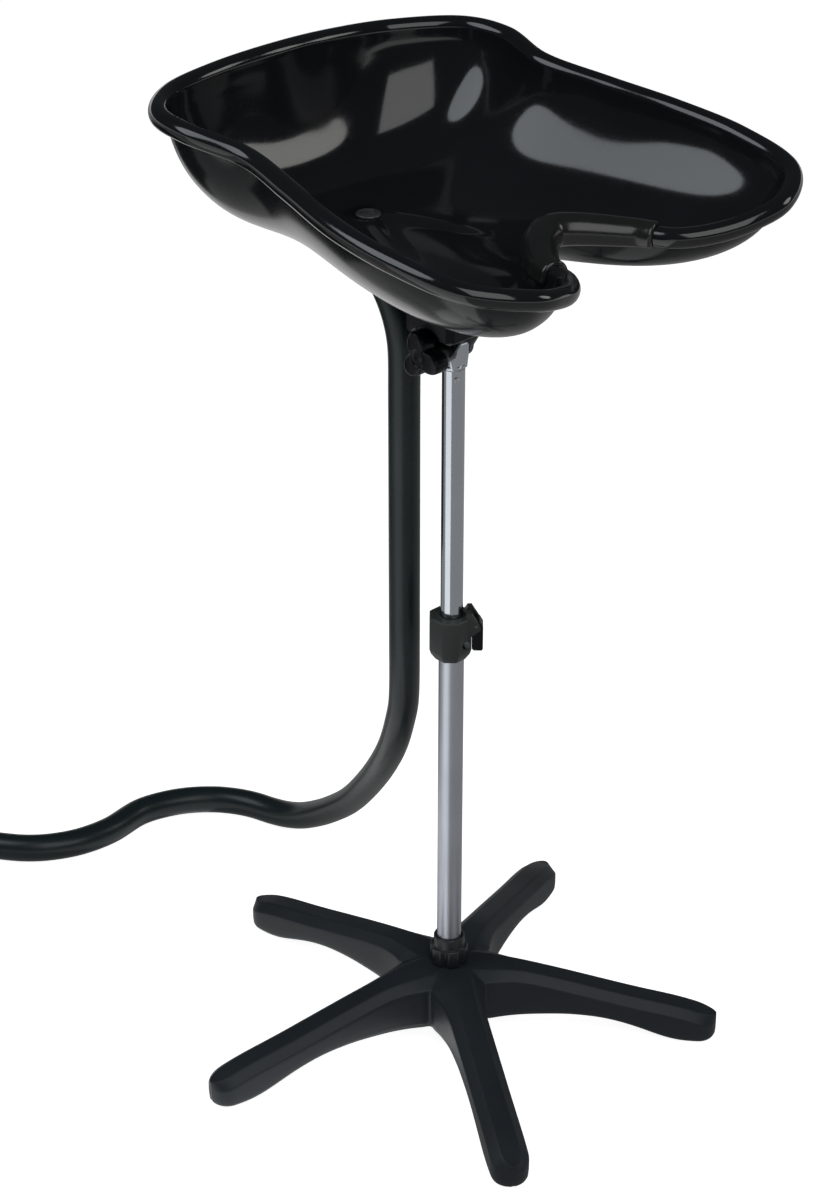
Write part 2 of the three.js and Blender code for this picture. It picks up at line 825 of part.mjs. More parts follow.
// Where the rim is at a place round it, counted in spans, and the level direction
// out of the bowl there
function rimAt(span) {
  const at = ((span / spans) % 1 + 1) % 1;
  const centre = rimLine.getPoint(at);
  const along = rimLine.getTangent(at).setZ(0).normalize();
  return { centre, outward: new THREE.Vector3(-along.y, along.x, 0) };
}

function floorAt(point) {
  const forward = Math.max(0, drainBack - point.y - drainSeatRadius);
  return floorHeight - floorSlopeShare * forward;
}

// One line of the shell's outer wall, from the drain hole up to the lip
function outerWallLine({ centre, outward }) {
  const top = centre.clone().addScaledVector(outward, -(lipRadius - bowlWall));
  const away = top.clone().setZ(0).sub(drainCentre).normalize();
  const hole = drainCentre.clone().addScaledVector(away, drainHoleRadius);
  const forward = -centre.y / rimReach;
  const spread = wallSpreadShare - wallSpreadFrontShare * forward
    - wallSpreadEndShare * forward * forward;
  const line = [];
  for (let k = 0; k <= wallRings; k += 1) {
    const angle = (quarter * k) / wallRings;
    const out = Math.sin(angle) ** spread;
    const rise = 1 - Math.cos(angle) ** wallRiseShare;
    const point = hole.clone().lerp(top.clone().setZ(0), k === wallRings ? 1 : out);
    const floor = floorAt(point);
    point.z = floor + (centre.z - floor) * (k === wallRings ? 1 : rise);
    line.push(point);
  }
  return line;
}

// The lip's arc at a station, for the outer or the inner face of its wall
function lipLine({ centre, outward }, radius, from, to, steps) {
  return Array.from({ length: steps + 1 }, (_, k) => {
    const angle = from + ((to - from) * k) / steps;
    return centre.clone()
      .addScaledVector(outward, radius * Math.cos(angle))
      .setZ(centre.z + radius * Math.sin(angle));
  });
}

const stations = stationSpans.map(rimAt);
const outerLines = stations.map(outerWallLine);

// The inner face lies one wall inside the outer face, square to it
const innerLines = outerLines.map((line, k) => line.map((point, m) => {
  if (m === 0) {
    return point.clone().setZ(point.z + bowlWall);
  }
  if (m === wallRings) {
    return point.clone().addScaledVector(stations[k].outward, -bowlWall);
  }
  const before = outerLines[(k + stationCount - 1) % stationCount][m];
  const after = outerLines[(k + 1) % stationCount][m];
  const round = after.clone().sub(before);
  const up = line[m + 1].clone().sub(line[m - 1]);
  const inward = round.cross(up).normalize();
  const toward = inward.z >= 0 ? 1 : -1;
  return point.clone().addScaledVector(inward, toward * bowlWall);
}));

const shellRows = stations.map((station, k) => [
  ...outerLines[k].slice(0, wallRings),
  ...lipLine(station, lipRadius - bowlWall, lipStart, lipEnd, lipSteps / 2),
  ...lipLine(station, lipRadius, lipEnd, lipStart, lipSteps),
  ...innerLines[k].slice(0, wallRings).reverse(),
]);
place('bowl_shell', skinOver(shellRows, true), looks.bowl);

// What the outer wall encloses, used to seat what is fixed under the bowl
const bowlCore = new THREE.BufferGeometry();
{
  const points = [...outerLines.flat()];
  const width = wallRings + 1;
  points.push(drainCentre.clone().setZ(floorHeight));
  points.push(drainCentre.clone().setZ(neckHeight + rimFall));
  const [low, high] = [points.length - 2, points.length - 1];
  const index = [];
  for (let k = 0; k < stationCount; k += 1) {
    const next = (k + 1) % stationCount;
    for (let m = 0; m < wallRings; m += 1) {
      const [a, b] = [k * width + m, next * width + m];
      index.push(a, b, b + 1, a, b + 1, a + 1);
    }
    index.push(k * width, low, next * width);
    index.push(k * width + wallRings, next * width + wallRings, high);
  }
  bowlCore.setFromPoints(points);
  bowlCore.setIndex(index);
  if (solidOf(bowlCore).volume() < 0) {
    bowlCore.setIndex(index.reverse());
  }
}
const bowlCoreSolid = solidOf(bowlCore).translate([0, 0, -touchGap]);

// Neck pad: a soft channel clipped over the lip in the cut-out, thickest in its
// middle

const padSpans = padReachShare * neckSpan;
const padPlaces = stationSpans.map((_, k) => k)
  .filter((k) => Math.abs(stationSpans[k] - neckSpan) <= padSpans);
const padRows = padPlaces.map((at) => {
  const station = stations[at];
  const share = (stationSpans[at] - neckSpan + padSpans) / (2 * padSpans);
  const thick = padThick + padCrown * Math.sin(Math.PI * share) ** 2;
  const wall = innerLines[at].slice(wallRings - padWallRings, wallRings);
  const lipFace = lipLine(station, lipRadius, lipStart, padEnd, padLipSteps);
  const face = [...wall, ...lipFace];
  const out = face.map((point, m) => {
    const before = face[Math.max(0, m - 1)];
    const after = face[Math.min(face.length - 1, m + 1)];
    const run = after.clone().sub(before);
    const side = station.outward;
    const [level, rise] = [run.dot(side), run.z];
    const length = Math.hypot(level, rise);
    const normal = side.clone().multiplyScalar(-rise / length);
    normal.z = level / length;
    return normal;
  });
  const near = face.map((point, m) => point.clone().addScaledVector(out[m], touchGap));
  const far = face.map((point, m) => point.clone().addScaledVector(out[m], touchGap + thick));
  return [...near, ...far.reverse()];
});
place('neck_pad', skinOver(padRows, false), looks.pad);

// Pedestal moulded to the bowl's underside, with the tilt bracket screwed below

const pedestalTop = floorHeight + overrun;
const earIn = eyeHalfThick + touchGap;
const corners = (halfX, halfY, z) => {
  const cut = pedestalCorner;
  return [
    [halfX - cut, -halfY], [halfX, cut - halfY], [halfX, halfY - cut], [halfX - cut, halfY],
    [cut - halfX, halfY], [-halfX, halfY - cut], [-halfX, cut - halfY], [cut - halfX, -halfY],
  ].map(([x, y]) => new THREE.Vector3(x, y, z));
};
const bracketScrewPlaces = [[1, 1], [-1, 1], [-1, -1], [1, -1]].map(
  ([x, y]) => [x * bracketScrewX, y * bracketScrewY],
);
const screwHoles = (radius, low, high) => bracketScrewPlaces.map(([x, y]) => solidOf(
  disc(radius, low, high, smallSides),
).translate([x, y, 0]));
const pedestalHigh = pedestalTop + overrun;
const pedestalMid = (pedestalFoot + floorHeight) / 2;
const pedestalSolid = cutBy(solidOf(skinOver([
  corners(pedestalHalfX - pedestalEdge, pedestalHalfY - pedestalEdge, pedestalFoot),
  corners(pedestalHalfX, pedestalHalfY, pedestalFoot + pedestalEdge),
  corners(pedestalHalfX, pedestalHalfY, pedestalMid),
  corners(pedestalHalfX + pedestalFlare, pedestalHalfY + pedestalFlare, pedestalHigh),
], false)), [
  bowlCoreSolid,
  ...screwHoles(
    bracketScrewRadius + touchGap,
    pedestalFoot - overrun,
    pedestalFoot + bracketScrewReach + touchGap,
  ),
  solidOf(alongX(disc(
    knobReach + knobRelief,
    -2 * pedestalHalfX,
    -(earIn + bracketSteel + knobBossLength),
    tubeSides,
  ))).translate([0, 0, tiltHeight]),
]);
place('bowl_pedestal', geometryOf(pedestalSolid), looks.knob);

const plateTop = pedestalFoot - touchGap;
const plateUnder = plateTop - bracketSteel;
const earShape = new THREE.Shape();
earShape.moveTo(-bracketHalfY, plateTop);
earShape.lineTo(-bracketHalfY, plateUnder);
earShape.lineTo(-bracketEarRadius, tiltHeight);
earShape.absarc(0, tiltHeight, bracketEarRadius, Math.PI, 0, false);
earShape.lineTo(bracketHalfY, plateUnder);
earShape.lineTo(bracketHalfY, plateTop);
const bracketSolid = cutBy(joined([
  solidOf(block(bracketHalfX, bracketHalfY, plateUnder, plateTop)),
  solidOf(crossSlab(earShape, earIn + bracketSteel)),
]), [
  solidOf(block(earIn, 2 * bracketHalfY, tiltHeight - 2 * bracketEarRadius, plateUnder)),
  boltHole(tiltBoltRadius + touchGap, 2 * bracketHalfX),
  ...screwHoles(bracketScrewRadius + touchGap, plateUnder - overrun, plateTop + overrun),
]);
place('tilt_bracket', geometryOf(bracketSolid), looks.steel);

bracketScrewPlaces.forEach(([x, y], k) => {
  const headTop = plateUnder - touchGap;
  const screw = solidOf(disc(
    bracketScrewRadius,
    headTop - bracketScrewHeadHeight / 2,
    pedestalFoot + bracketScrewReach,
    smallSides,
  )).add(solidOf(revolved([
    [0, headTop - bracketScrewHeadHeight], [bracketScrewHead / 2, headTop - bracketScrewHeadHeight],
    [bracketScrewHead, headTop - bracketScrewHeadHeight / 3], [bracketScrewHead, headTop],
    [0, headTop],
  ], smallSides)));
  place(`bracket_screw_${k + 1}`, geometryOf(screw), looks.steel).position.set(x, y, 0);
});

// Tilt bolt with its washers and the three-lobed knob

const earOut = earIn + bracketSteel;
const washerOut = earOut + touchGap + washerThick;
const knobIn = washerOut + touchGap;
const tiltBolt = solidOf(alongX(disc(
  tiltBoltRadius,
  -(knobIn + knobBossLength + knobThick / 2),
  washerOut + touchGap + tiltHeadThick / 2,
  midSides,
))).add(solidOf(alongX(revolved([
  [0, washerOut + touchGap], [tiltHeadRadius, washerOut + touchGap],
  [tiltHeadRadius, washerOut + touchGap + tiltHeadThick / 2],
  [tiltHeadRadius / 2, washerOut + touchGap + tiltHeadThick],
  [0, washerOut + touchGap + tiltHeadThick],
], midSides)))).translate([0, 0, tiltHeight]);
place('tilt_bolt', geometryOf(tiltBolt), looks.steel);
[['tilt_washer_right', 1], ['tilt_washer_left', -1]].forEach(([name, hand]) => {
  const near = hand > 0 ? earOut + touchGap : -washerOut;
  place(
    name,
    alongX(ring(tiltWasherRadius, tiltBoltRadius + touchGap, near, near + washerThick, midSides)),
    looks.steel,
  ).position.set(0, 0, tiltHeight);
});

const knobShape = new THREE.Shape();
{
  const steps = knobLobes * knobStepsPerLobe;
  for (let k = 0; k < steps; k += 1) {
    const angle = knobTurn + (turn * k) / steps;
    const swell = (1 + Math.cos(knobLobes * (angle - knobTurn))) / 2;
    const reach = knobWaistRadius + (knobReach - knobWaistRadius) * swell ** knobFullness;
    const [x, y] = [reach * Math.cos(angle), reach * Math.sin(angle)];
    if (k === 0) {
      knobShape.moveTo(x, y);
    } else {
      knobShape.lineTo(x, y);
    }
  }
}
const knobBevel = knobThick / 6;
const knobHead = new THREE.ExtrudeGeometry(knobShape, {
  depth: knobThick - 2 * knobBevel,
  bevelThickness: knobBevel,
  bevelSize: knobBevel,
  bevelOffset: -knobBevel,
  bevelSegments: 2,
});
const knobSolid = solidOf(knobHead.translate(0, 0, knobBevel + knobBossLength))
  .add(solidOf(disc(knobBossRadius, 0, knobBossLength + knobThick / 2, midSides)))
  .subtract(solidOf(disc(
    tiltBoltRadius + runGap,
    -overrun,
    knobBossLength + knobThick / 2 + touchGap,
    midSides,
  )));
place('tilt_knob', geometryOf(knobSolid).rotateY(-quarter), looks.knob)
  .position.set(-knobIn, 0, tiltHeight);

// Drain: flange and strainer inside the bowl, gasket, nut and hose elbow below

const seatTop = floorHeight + bowlWall + touchGap;
const drain = new THREE.Group();
drain.position.set(0, drainBack, 0);
sink.add(drain);
place(
  'drain_flange',
  revolved([
    [tailBore, seatTop - tailLength], [tailRadius, seatTop - tailLength],
    [tailRadius, seatTop], [flangeRadius, seatTop],
    [flangeRadius - flangeEdge, seatTop + flangeThick / 2],
    [strainerRadius + flangeLand, seatTop + flangeThick],
    [strainerRadius + touchGap, seatTop + flangeThick], [strainerRadius + touchGap, seatTop],
    [tailBore - strainerLedge, seatTop - strainerLedge],
    [tailBore - strainerLedge, seatTop - 2 * strainerLedge],
  ], midSides),
  looks.knob,
  drain,
);
const strainerFoot = seatTop + touchGap;
const strainerSolid = cutBy(
  solidOf(disc(strainerRadius, strainerFoot, strainerFoot + strainerThick, midSides)),
  Array.from({ length: strainerSlots }, (_, k) => {
    const side = (2 * k) / (strainerSlots - 1) - 1;
    const at = strainerRadius * strainerSpreadShare * side;
    const half = Math.sqrt((strainerRadius - strainerRim) ** 2 - at * at);
    return solidOf(block(strainerSlotHalf, half, strainerFoot - overrun, strainerFoot + overrun))
      .translate([at, 0, 0]);
  }),
);
place('drain_strainer', geometryOf(strainerSolid), looks.knob, drain);
const underBowl = floorHeight - touchGap;
place(
  'drain_gasket',
  ring(gasketRadius, tailRadius + touchGap, underBowl - gasketThick, underBowl, midSides),
  looks.rubber,
  drain,
);
const nutTop = underBowl - gasketThick - touchGap;
place(
  'drain_nut',
  hexNut(nutRadius, tailRadius + touchGap, nutTop - nutThick, nutTop),
  looks.knob,
  drain,
);

const socketTop = nutTop - nutThick - touchGap;
const socketFoot = socketTop - elbowSocketLength;
const bendCentre = new THREE.Vector3(0, -elbowBend, socketFoot);
const bendPoint = (angle) => new THREE.Vector3(
  0,
  bendCentre.y + elbowBend * Math.cos(angle),
  bendCentre.z - elbowBend * Math.sin(angle),
);
const barbStart = bendPoint(elbowAngle);
const barbAlong = new THREE.Vector3(0, -Math.sin(elbowAngle), -Math.cos(elbowAngle));
const circle = (radius, sides) => outline(Array.from({ length: sides }, (_, k) => [
  radius * Math.cos((turn * k) / sides), radius * Math.sin((turn * k) / sides),
]));
const sweep = (shape, points, steps) => new THREE.ExtrudeGeometry(shape, {
  steps, bevelEnabled: false, extrudePath: new THREE.CatmullRomCurve3(points),
});
const bendPath = (lead) => [
  new THREE.Vector3(0, 0, socketTop + lead),
  ...Array.from({ length: elbowSteps + 1 }, (_, k) => bendPoint((elbowAngle * k) / elbowSteps)),
  barbStart.clone().addScaledVector(barbAlong, touchGap + lead),
];
const barbProfile = [[0, 0], [barbRadius, 0]];
for (let k = 0; k < barbRings; k += 1) {
  const [from, to] = [(barbLength * k) / barbRings, (barbLength * (k + 1)) / barbRings];
  barbProfile.push([barbRadius - barbRise, from + barbRun], [barbRadius, to - barbDrop]);
}
barbProfile.push([barbRadius - 3 * barbRise, barbLength], [0, barbLength]);
const turnedToBarb = (geometry) => geometry.rotateX(Math.PI - elbowAngle)
  .translate(0, barbStart.y, barbStart.z);
const elbowSolid = cutBy(joined([
  solidOf(sweep(circle(elbowSocketRadius, midSides), bendPath(0), 2 * elbowSteps)),
  solidOf(turnedToBarb(revolved(barbProfile, midSides))),
]), [
  solidOf(sweep(circle(barbBore, midSides), bendPath(overrun), 2 * elbowSteps)),
  solidOf(turnedToBarb(disc(barbBore, -touchGap, barbLength + overrun, midSides))),
  solidOf(disc(tailRadius + touchGap, socketFoot, socketTop + overrun, midSides)),
]);
place('drain_elbow', geometryOf(elbowSolid), looks.knob, drain);

// Hose: one bored tube along a fixed route, in three stretches that meet end to end

const elbowEnd = barbStart.clone().add(drain.position);
const turnBack = hoseTurnRadius * (1 - Math.cos(elbowAngle));
const hoseLead = (elbowEnd.y - hoseBack - turnBack) / Math.sin(elbowAngle);
const turnFrom = elbowEnd.clone().addScaledVector(barbAlong, hoseLead);
const turnPoint = (angle) => new THREE.Vector3(
  0,
  hoseBack + hoseTurnRadius * (1 - Math.cos(angle)),
  turnFrom.z - hoseTurnRadius * (Math.sin(elbowAngle) - Math.sin(angle)),
);
const hosePath = new THREE.CatmullRomCurve3(
  [
    elbowEnd.clone().addScaledVector(barbAlong, 2 * touchGap),
    elbowEnd.clone().addScaledVector(barbAlong, hoseLead / 2),
    ...Array.from(
      { length: hoseTurnSteps },
      (_, k) => turnPoint(elbowAngle * (1 - k / (hoseTurnSteps - 1))),
    ),
    ...hoseRoute.map(([x, y, z]) => new THREE.Vector3(x, y, z)),
  ],
  false,
  'centripetal',
);
const hoseLength = hosePath.getLength();
const hoseSection = circle(hoseRadius, hoseSides);
hoseSection.holes.push(circle(hoseBore, hoseSides));

// The part of the route between two shares of its length
class Stretch extends THREE.Curve {
  constructor(from, to) {
    super();
    this.from = from;
    this.to = to;
  }

  getPoint(share, target) {
    return hosePath.getPointAt(this.from + (this.to - this.from) * share, target);
  }
}

function hoseStretch(name, from, to, stepLength) {
  const geometry = new THREE.ExtrudeGeometry(hoseSection, {
    steps: Math.round((hoseLength * (to - from)) / stepLength),
    bevelEnabled: false,
    extrudePath: new Stretch(from, to),
  });
  place(name, geometry, looks.hose);
}

const gapShare = touchGap / hoseLength;
const upperEndShare = upperHoseLength / hoseLength;
const middleEndShare = upperEndShare + middleHoseLength / hoseLength;
hoseStretch('hose_upper', 0, upperEndShare, hoseStep);
hoseStretch('hose_middle', upperEndShare + gapShare, middleEndShare, straightHoseStep);
hoseStretch('hose_lower', middleEndShare + gapShare, 1, hoseStep);

// Worm-drive band that holds the hose on the barb
const bandInner = hoseRadius + touchGap;
const bandSolid = solidOf(ring(bandInner + bandThick, bandInner, 0, bandWidth, tubeSides)).add(
  solidOf(block(bandBoxLength / 2, bandBoxHeight / 2, 0, bandWidth))
    .translate([0, bandInner + bandThick / 2 + bandBoxHeight / 2, 0]),
);
place(
  'hose_band',
  turnedToBarb(geometryOf(bandSolid.translate([0, 0, bandAlong]))),
  looks.steel,
  drain,
);

// The origin is on the floor in the middle of the plan of everything but the hose
sink.updateMatrixWorld(true);
const footprint = new THREE.Box3();
sink.children.filter((child) => !child.name.startsWith('hose_')).forEach((child) => {
  footprint.expandByObject(child, true);
});
const middle = footprint.getCenter(new THREE.Vector3());
sink.position.set(-middle.x, -middle.y, 0);
sink.updateMatrixWorld(true);

export default sink;
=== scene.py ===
# Free-standing salon sink: a deep black bowl on a two-tube column and a five-legged base.
import bpy
import bmesh
import math
from mathutils import Matrix, Vector


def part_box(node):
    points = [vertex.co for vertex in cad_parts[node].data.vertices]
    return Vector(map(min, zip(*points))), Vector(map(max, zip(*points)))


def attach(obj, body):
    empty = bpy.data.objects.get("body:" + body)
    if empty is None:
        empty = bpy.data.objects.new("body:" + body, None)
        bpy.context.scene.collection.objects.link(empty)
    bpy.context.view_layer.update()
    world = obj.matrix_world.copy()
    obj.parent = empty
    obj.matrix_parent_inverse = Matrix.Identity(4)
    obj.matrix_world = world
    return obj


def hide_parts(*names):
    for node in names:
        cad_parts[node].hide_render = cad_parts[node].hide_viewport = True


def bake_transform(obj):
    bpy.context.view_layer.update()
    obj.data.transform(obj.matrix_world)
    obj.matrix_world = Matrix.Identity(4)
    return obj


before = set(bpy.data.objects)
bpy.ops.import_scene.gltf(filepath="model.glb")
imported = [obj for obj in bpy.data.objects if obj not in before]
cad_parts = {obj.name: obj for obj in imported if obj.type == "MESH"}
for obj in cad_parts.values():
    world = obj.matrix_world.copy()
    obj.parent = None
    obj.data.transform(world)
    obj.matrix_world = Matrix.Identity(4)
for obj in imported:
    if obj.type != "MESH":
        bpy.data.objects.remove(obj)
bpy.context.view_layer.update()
print("frame loaded")

mm = 0.001
fullTurn = 2 * math.pi
# below these lengths in metres, two points or places count as one
tiny = {"step": 1e-6, "span": 1e-12, "turned": 1e-6, "node": 2e-6, "star": 1e-5}


def nodeBox(node):
    low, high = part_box(node)
    return Vector(low), Vector(high)


def nodeMiddle(node):
    low, high = nodeBox(node)
    return (low + high) / 2


tubeMiddle = nodeMiddle("upper_tube")
mast = Vector((tubeMiddle.x, tubeMiddle.y, 0))

# Camera
cameraPlace = {"away": (-1.718, -1.659, 1.793), "pitch": 28.39, "heading": 44.97, "lens": 84.0,
               "sensor": 36}
cameraData = bpy.data.cameras.new("camera")
cameraData.lens = cameraPlace["lens"]
cameraData.sensor_width = cameraPlace["sensor"]
cameraObject = bpy.data.objects.new("camera", cameraData)
bpy.context.collection.objects.link(cameraObject)
cameraObject.location = mast + Vector(cameraPlace["away"])
cameraObject.rotation_euler = (
    math.radians(90 - cameraPlace["pitch"]), 0, math.radians(cameraPlace["heading"] - 90))
bpy.context.scene.camera = cameraObject


# Smooth line through points, closed or open, as the rim and the hose follow it
def lineThrough(points, closed):
    points = [Vector(point) for point in points]
    count = len(points)

    def at(share):
        place = share * (count if closed else count - 1)
        first = math.floor(place)
        if closed:
            near = [points[(first + k) % count] for k in (-1, 0, 1, 2)]
        else:
            first = min(first, count - 2)
            before = points[first - 1] if first > 0 else 2 * points[0] - points[1]
            after = points[first + 2] if first + 2 < count else 2 * points[-1] - points[-2]
            near = [before, points[first], points[first + 1], after]
        part = place - first
        steps = [max((near[k + 1] - near[k]).length ** 0.5, tiny["step"]) for k in range(3)]
        result = Vector((0, 0, 0))
        for axis in range(3):
            a, b, c, d = (point[axis] for point in near)
            slopeIn = ((b - a) / steps[0] - (c - a) / (steps[0] + steps[1]) + (c - b) / steps[1])
            slopeOut = ((c - b) / steps[1] - (d - b) / (steps[1] + steps[2]) + (d - c) / steps[2])
            slopeIn *= steps[1]
            slopeOut *= steps[1]
            result[axis] = (b + slopeIn * part
                            + (-3 * b + 3 * c - 2 * slopeIn - slopeOut) * part ** 2
                            + (2 * b - 2 * c + slopeIn + slopeOut) * part ** 3)
        return result
    return at


def runningLengths(points):
    lengths = [0.0]
    for near, far in zip(points, points[1:]):
        lengths.append(lengths[-1] + (far - near).length)
    return lengths


def alongLine(points, lengths, distance):
    low, high = 0, len(lengths) - 1
    while high - low > 1:
        middle = (low + high) // 2
        low, high = (middle, high) if lengths[middle] <= distance else (low, middle)
    span = max(lengths[high] - lengths[low], tiny["span"])
    return points[low].lerp(points[high], (distance - lengths[low]) / span)


# Mesh helpers
def rowOfPoints(shape, points, closed):
    verts = [shape.verts.new(point) for point in points]
    ends = verts[1:] + verts[:1] if closed else verts[1:]
    return verts, [shape.edges.new(pair) for pair in zip(verts, ends)]


def skinRows(shape, rows, closed=True, joinEnds=False):
    edges = [rowOfPoints(shape, row, closed)[1] for row in rows]
    following = edges[1:] + (edges[:1] if joinEnds else [])
    for near, far in zip(edges, following):
        bmesh.ops.bridge_loops(shape, edges=near + far)
    return edges


def cappedEnds(shape, edges):
    for end in (edges[0], edges[-1]):
        bmesh.ops.edgeloop_fill(shape, edges=end)


def turned(shape, profile, steps, ring=True):
    points = [(radius * mm, 0, height * mm) for radius, height in profile]
    verts, edges = rowOfPoints(shape, points, ring)
    bmesh.ops.spin(
        shape, geom=verts + edges, cent=(0, 0, 0), axis=(0, 0, 1), dvec=(0, 0, 0),
        angle=fullTurn, steps=steps, use_merge=True, use_duplicate=False)
    bmesh.ops.remove_doubles(shape, verts=shape.verts, dist=tiny["turned"])


def hexReach(radius):
    return lambda angle: radius * math.cos(math.pi / 6) / math.cos(
        (angle + math.pi / 6) % (math.pi / 3) - math.pi / 6)


def grownRows(shape, rows, sides, joinEnds=False):
    # each row is a radius, or a function of the angle that gives it, and a height
    points = []
    for reach, height in rows:
        row = []
        for k in range(sides):
            angle = fullTurn * k / sides
            radius = reach(angle) if callable(reach) else reach
            row.append((radius * math.cos(angle) * mm, radius * math.sin(angle) * mm, height * mm))
        points.append(row)
    edges = skinRows(shape, points, joinEnds=joinEnds)
    if not joinEnds:
        cappedEnds(shape, edges)


def boxIn(shape, low, high, edge, segments=2):
    low, high = Vector(low) * mm, Vector(high) * mm
    verts = bmesh.ops.create_cube(shape, size=1)["verts"]
    bmesh.ops.scale(shape, vec=high - low, verts=verts)
    bmesh.ops.translate(shape, vec=(high + low) / 2, verts=verts)
    edges = list({side for vert in verts for side in vert.link_edges})
    bmesh.ops.bevel(shape, geom=edges, offset=edge * mm, offset_type="OFFSET",
                    segments=segments, profile=0.5, affect="EDGES", material=-1)


def vertsOf(made):
    return [item for item in made["geom"] if isinstance(item, bmesh.types.BMVert)]


def moved(shape, matrix):
    bmesh.ops.transform(shape, matrix=matrix, verts=shape.verts)


def facedUp(shape):
    bmesh.ops.recalc_face_normals(shape, faces=shape.faces)
    if sum(face.normal.z for face in shape.faces) < 0:
        bmesh.ops.reverse_faces(shape, faces=shape.faces)


def finishedPiece(name, shape, looks, body=None, nodes=None, recalc=True, smooth=True,
                  sharp=None):
    if recalc:
        bmesh.ops.recalc_face_normals(shape, faces=shape.faces)
    mesh = bpy.data.meshes.new(name)
    shape.to_mesh(mesh)
    shape.free()
    for look in looks:
        mesh.materials.append(look)
    mesh.polygons.foreach_set("use_smooth", [smooth] * len(mesh.polygons))
    if sharp:
        mesh.set_sharp_from_angle(angle=math.radians(sharp))
    piece = bpy.data.objects.new(name, mesh)
    bpy.context.collection.objects.link(piece)
    if body:
        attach(piece, body)
    if nodes:
        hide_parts(*nodes)
    return piece


def roundEdges(piece, width, segments=3, angle=32):
    edge = piece.modifiers.new("rounded", "BEVEL")
    edge.width = width * mm
    edge.segments = segments
    edge.limit_method = "ANGLE"
    edge.angle_limit = math.radians(angle)
    edge.harden_normals = True
    edge.use_clamp_overlap = True


def hollowed(piece, wall, even):
    thick = piece.modifiers.new("wall", "SOLIDIFY")
    thick.thickness = wall * mm
    thick.offset = -1
    thick.use_even_offset = even
    return thick


def nodeCopy(node, flat=2):
    shape = bmesh.new()
    shape.from_mesh(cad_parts[node].data)
    moved(shape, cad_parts[node].matrix_world)
    bmesh.ops.remove_doubles(shape, verts=shape.verts, dist=tiny["node"])
    bmesh.ops.dissolve_limit(
        shape, angle_limit=math.radians(flat), verts=shape.verts, edges=shape.edges)
    return shape


def softened(node, name, finish, body, width, segments=3, angle=32, sharp=None):
    piece = finishedPiece(name, nodeCopy(node), [finishes[finish]], body, [node], sharp=sharp)
    roundEdges(piece, width, segments, angle)


def turnedPiece(name, node, profile, place, finish, body, steps=72, ring=True, sharp=None):
    shape = bmesh.new()
    turned(shape, profile, steps, ring)
    moved(shape, place)
    return finishedPiece(name, shape, [finishes[finish]], body, [node], sharp=sharp)


def grownPiece(name, node, rows, place, finish, body, sides, joinEnds=False, sharp=None):
    shape = bmesh.new()
    grownRows(shape, rows, sides, joinEnds)
    moved(shape, place)
    finishedPiece(name, shape, [finishes[finish]], body, [node], sharp=sharp)


# Finishes
# the part of its range that a noise mostly fills
noiseSpan = (0.3, 0.7)
plasticLook = {"cloudScale": 9, "cloudDetail": 5, "cloudBump": 0.15, "cloudDepth": 0.4,
               "grainDetail": 3, "grainBump": 0.35, "stops": (0.3, 0.7)}
metalLook = {"smudgeScale": 14, "smudgeDetail": 4, "brushDetail": 4, "brushDepth": 0.02,
             "stops": (0.32, 0.68)}


def plainFinish(name, colour, roughness, metallic=0.0, specular=0.5):
    finish = bpy.data.materials.new(name)
    finish.use_nodes = True
    shader = finish.node_tree.nodes["Principled BSDF"]
    shader.inputs["Base Color"].default_value = (*colour, 1)
    shader.inputs["Roughness"].default_value = roughness
    shader.inputs["Metallic"].default_value = metallic
    shader.inputs["Specular IOR Level"].default_value = specular
    return finish


def noiseAt(finish, scale, detail, stretch=(1, 1, 1)):
    nodes, links = finish.node_tree.nodes, finish.node_tree.links
    place = nodes.new("ShaderNodeTexCoord")
    mapping = nodes.new("ShaderNodeMapping")
    mapping.inputs["Scale"].default_value = stretch
    noise = nodes.new("ShaderNodeTexNoise")
    noise.inputs["Scale"].default_value = scale
    noise.inputs["Detail"].default_value = detail
    links.new(place.outputs["Object"], mapping.inputs["Vector"])
    links.new(mapping.outputs["Vector"], noise.inputs["Vector"])
    return noise.outputs["Fac"]


def intoShader(finish, socket, source):
    shader = finish.node_tree.nodes["Principled BSDF"]
    finish.node_tree.links.new(source, shader.inputs[socket])


def tintedBy(finish, source, stops, colours):
    ramp = finish.node_tree.nodes.new("ShaderNodeValToRGB")
    for element, place, colour in zip(ramp.color_ramp.elements, stops, colours):
        element.position = place
        element.color = (*colour, 1)
    finish.node_tree.links.new(source, ramp.inputs["Fac"])
    intoShader(finish, "Base Color", ramp.outputs["Color"])


def roughenedBy(finish, source, roughness, spread):
    reach = finish.node_tree.nodes.new("ShaderNodeMapRange")
    reach.inputs["From Min"].default_value, reach.inputs["From Max"].default_value = noiseSpan
    reach.inputs["To Min"].default_value = roughness - spread
    reach.inputs["To Max"].default_value = roughness + spread
    finish.node_tree.links.new(source, reach.inputs["Value"])
    intoShader(finish, "Roughness", reach.outputs["Result"])


def bumpedBy(finish, sources):
    nodes, links = finish.node_tree.nodes, finish.node_tree.links
    last = None
    for source, strength, depth in sources:
        bump = nodes.new("ShaderNodeBump")
        bump.inputs["Strength"].default_value = strength
        bump.inputs["Distance"].default_value = depth * mm
        links.new(source, bump.inputs["Height"])
        if last:
            links.new(last, bump.inputs["Normal"])
        last = bump.outputs["Normal"]
    intoShader(finish, "Normal", last)


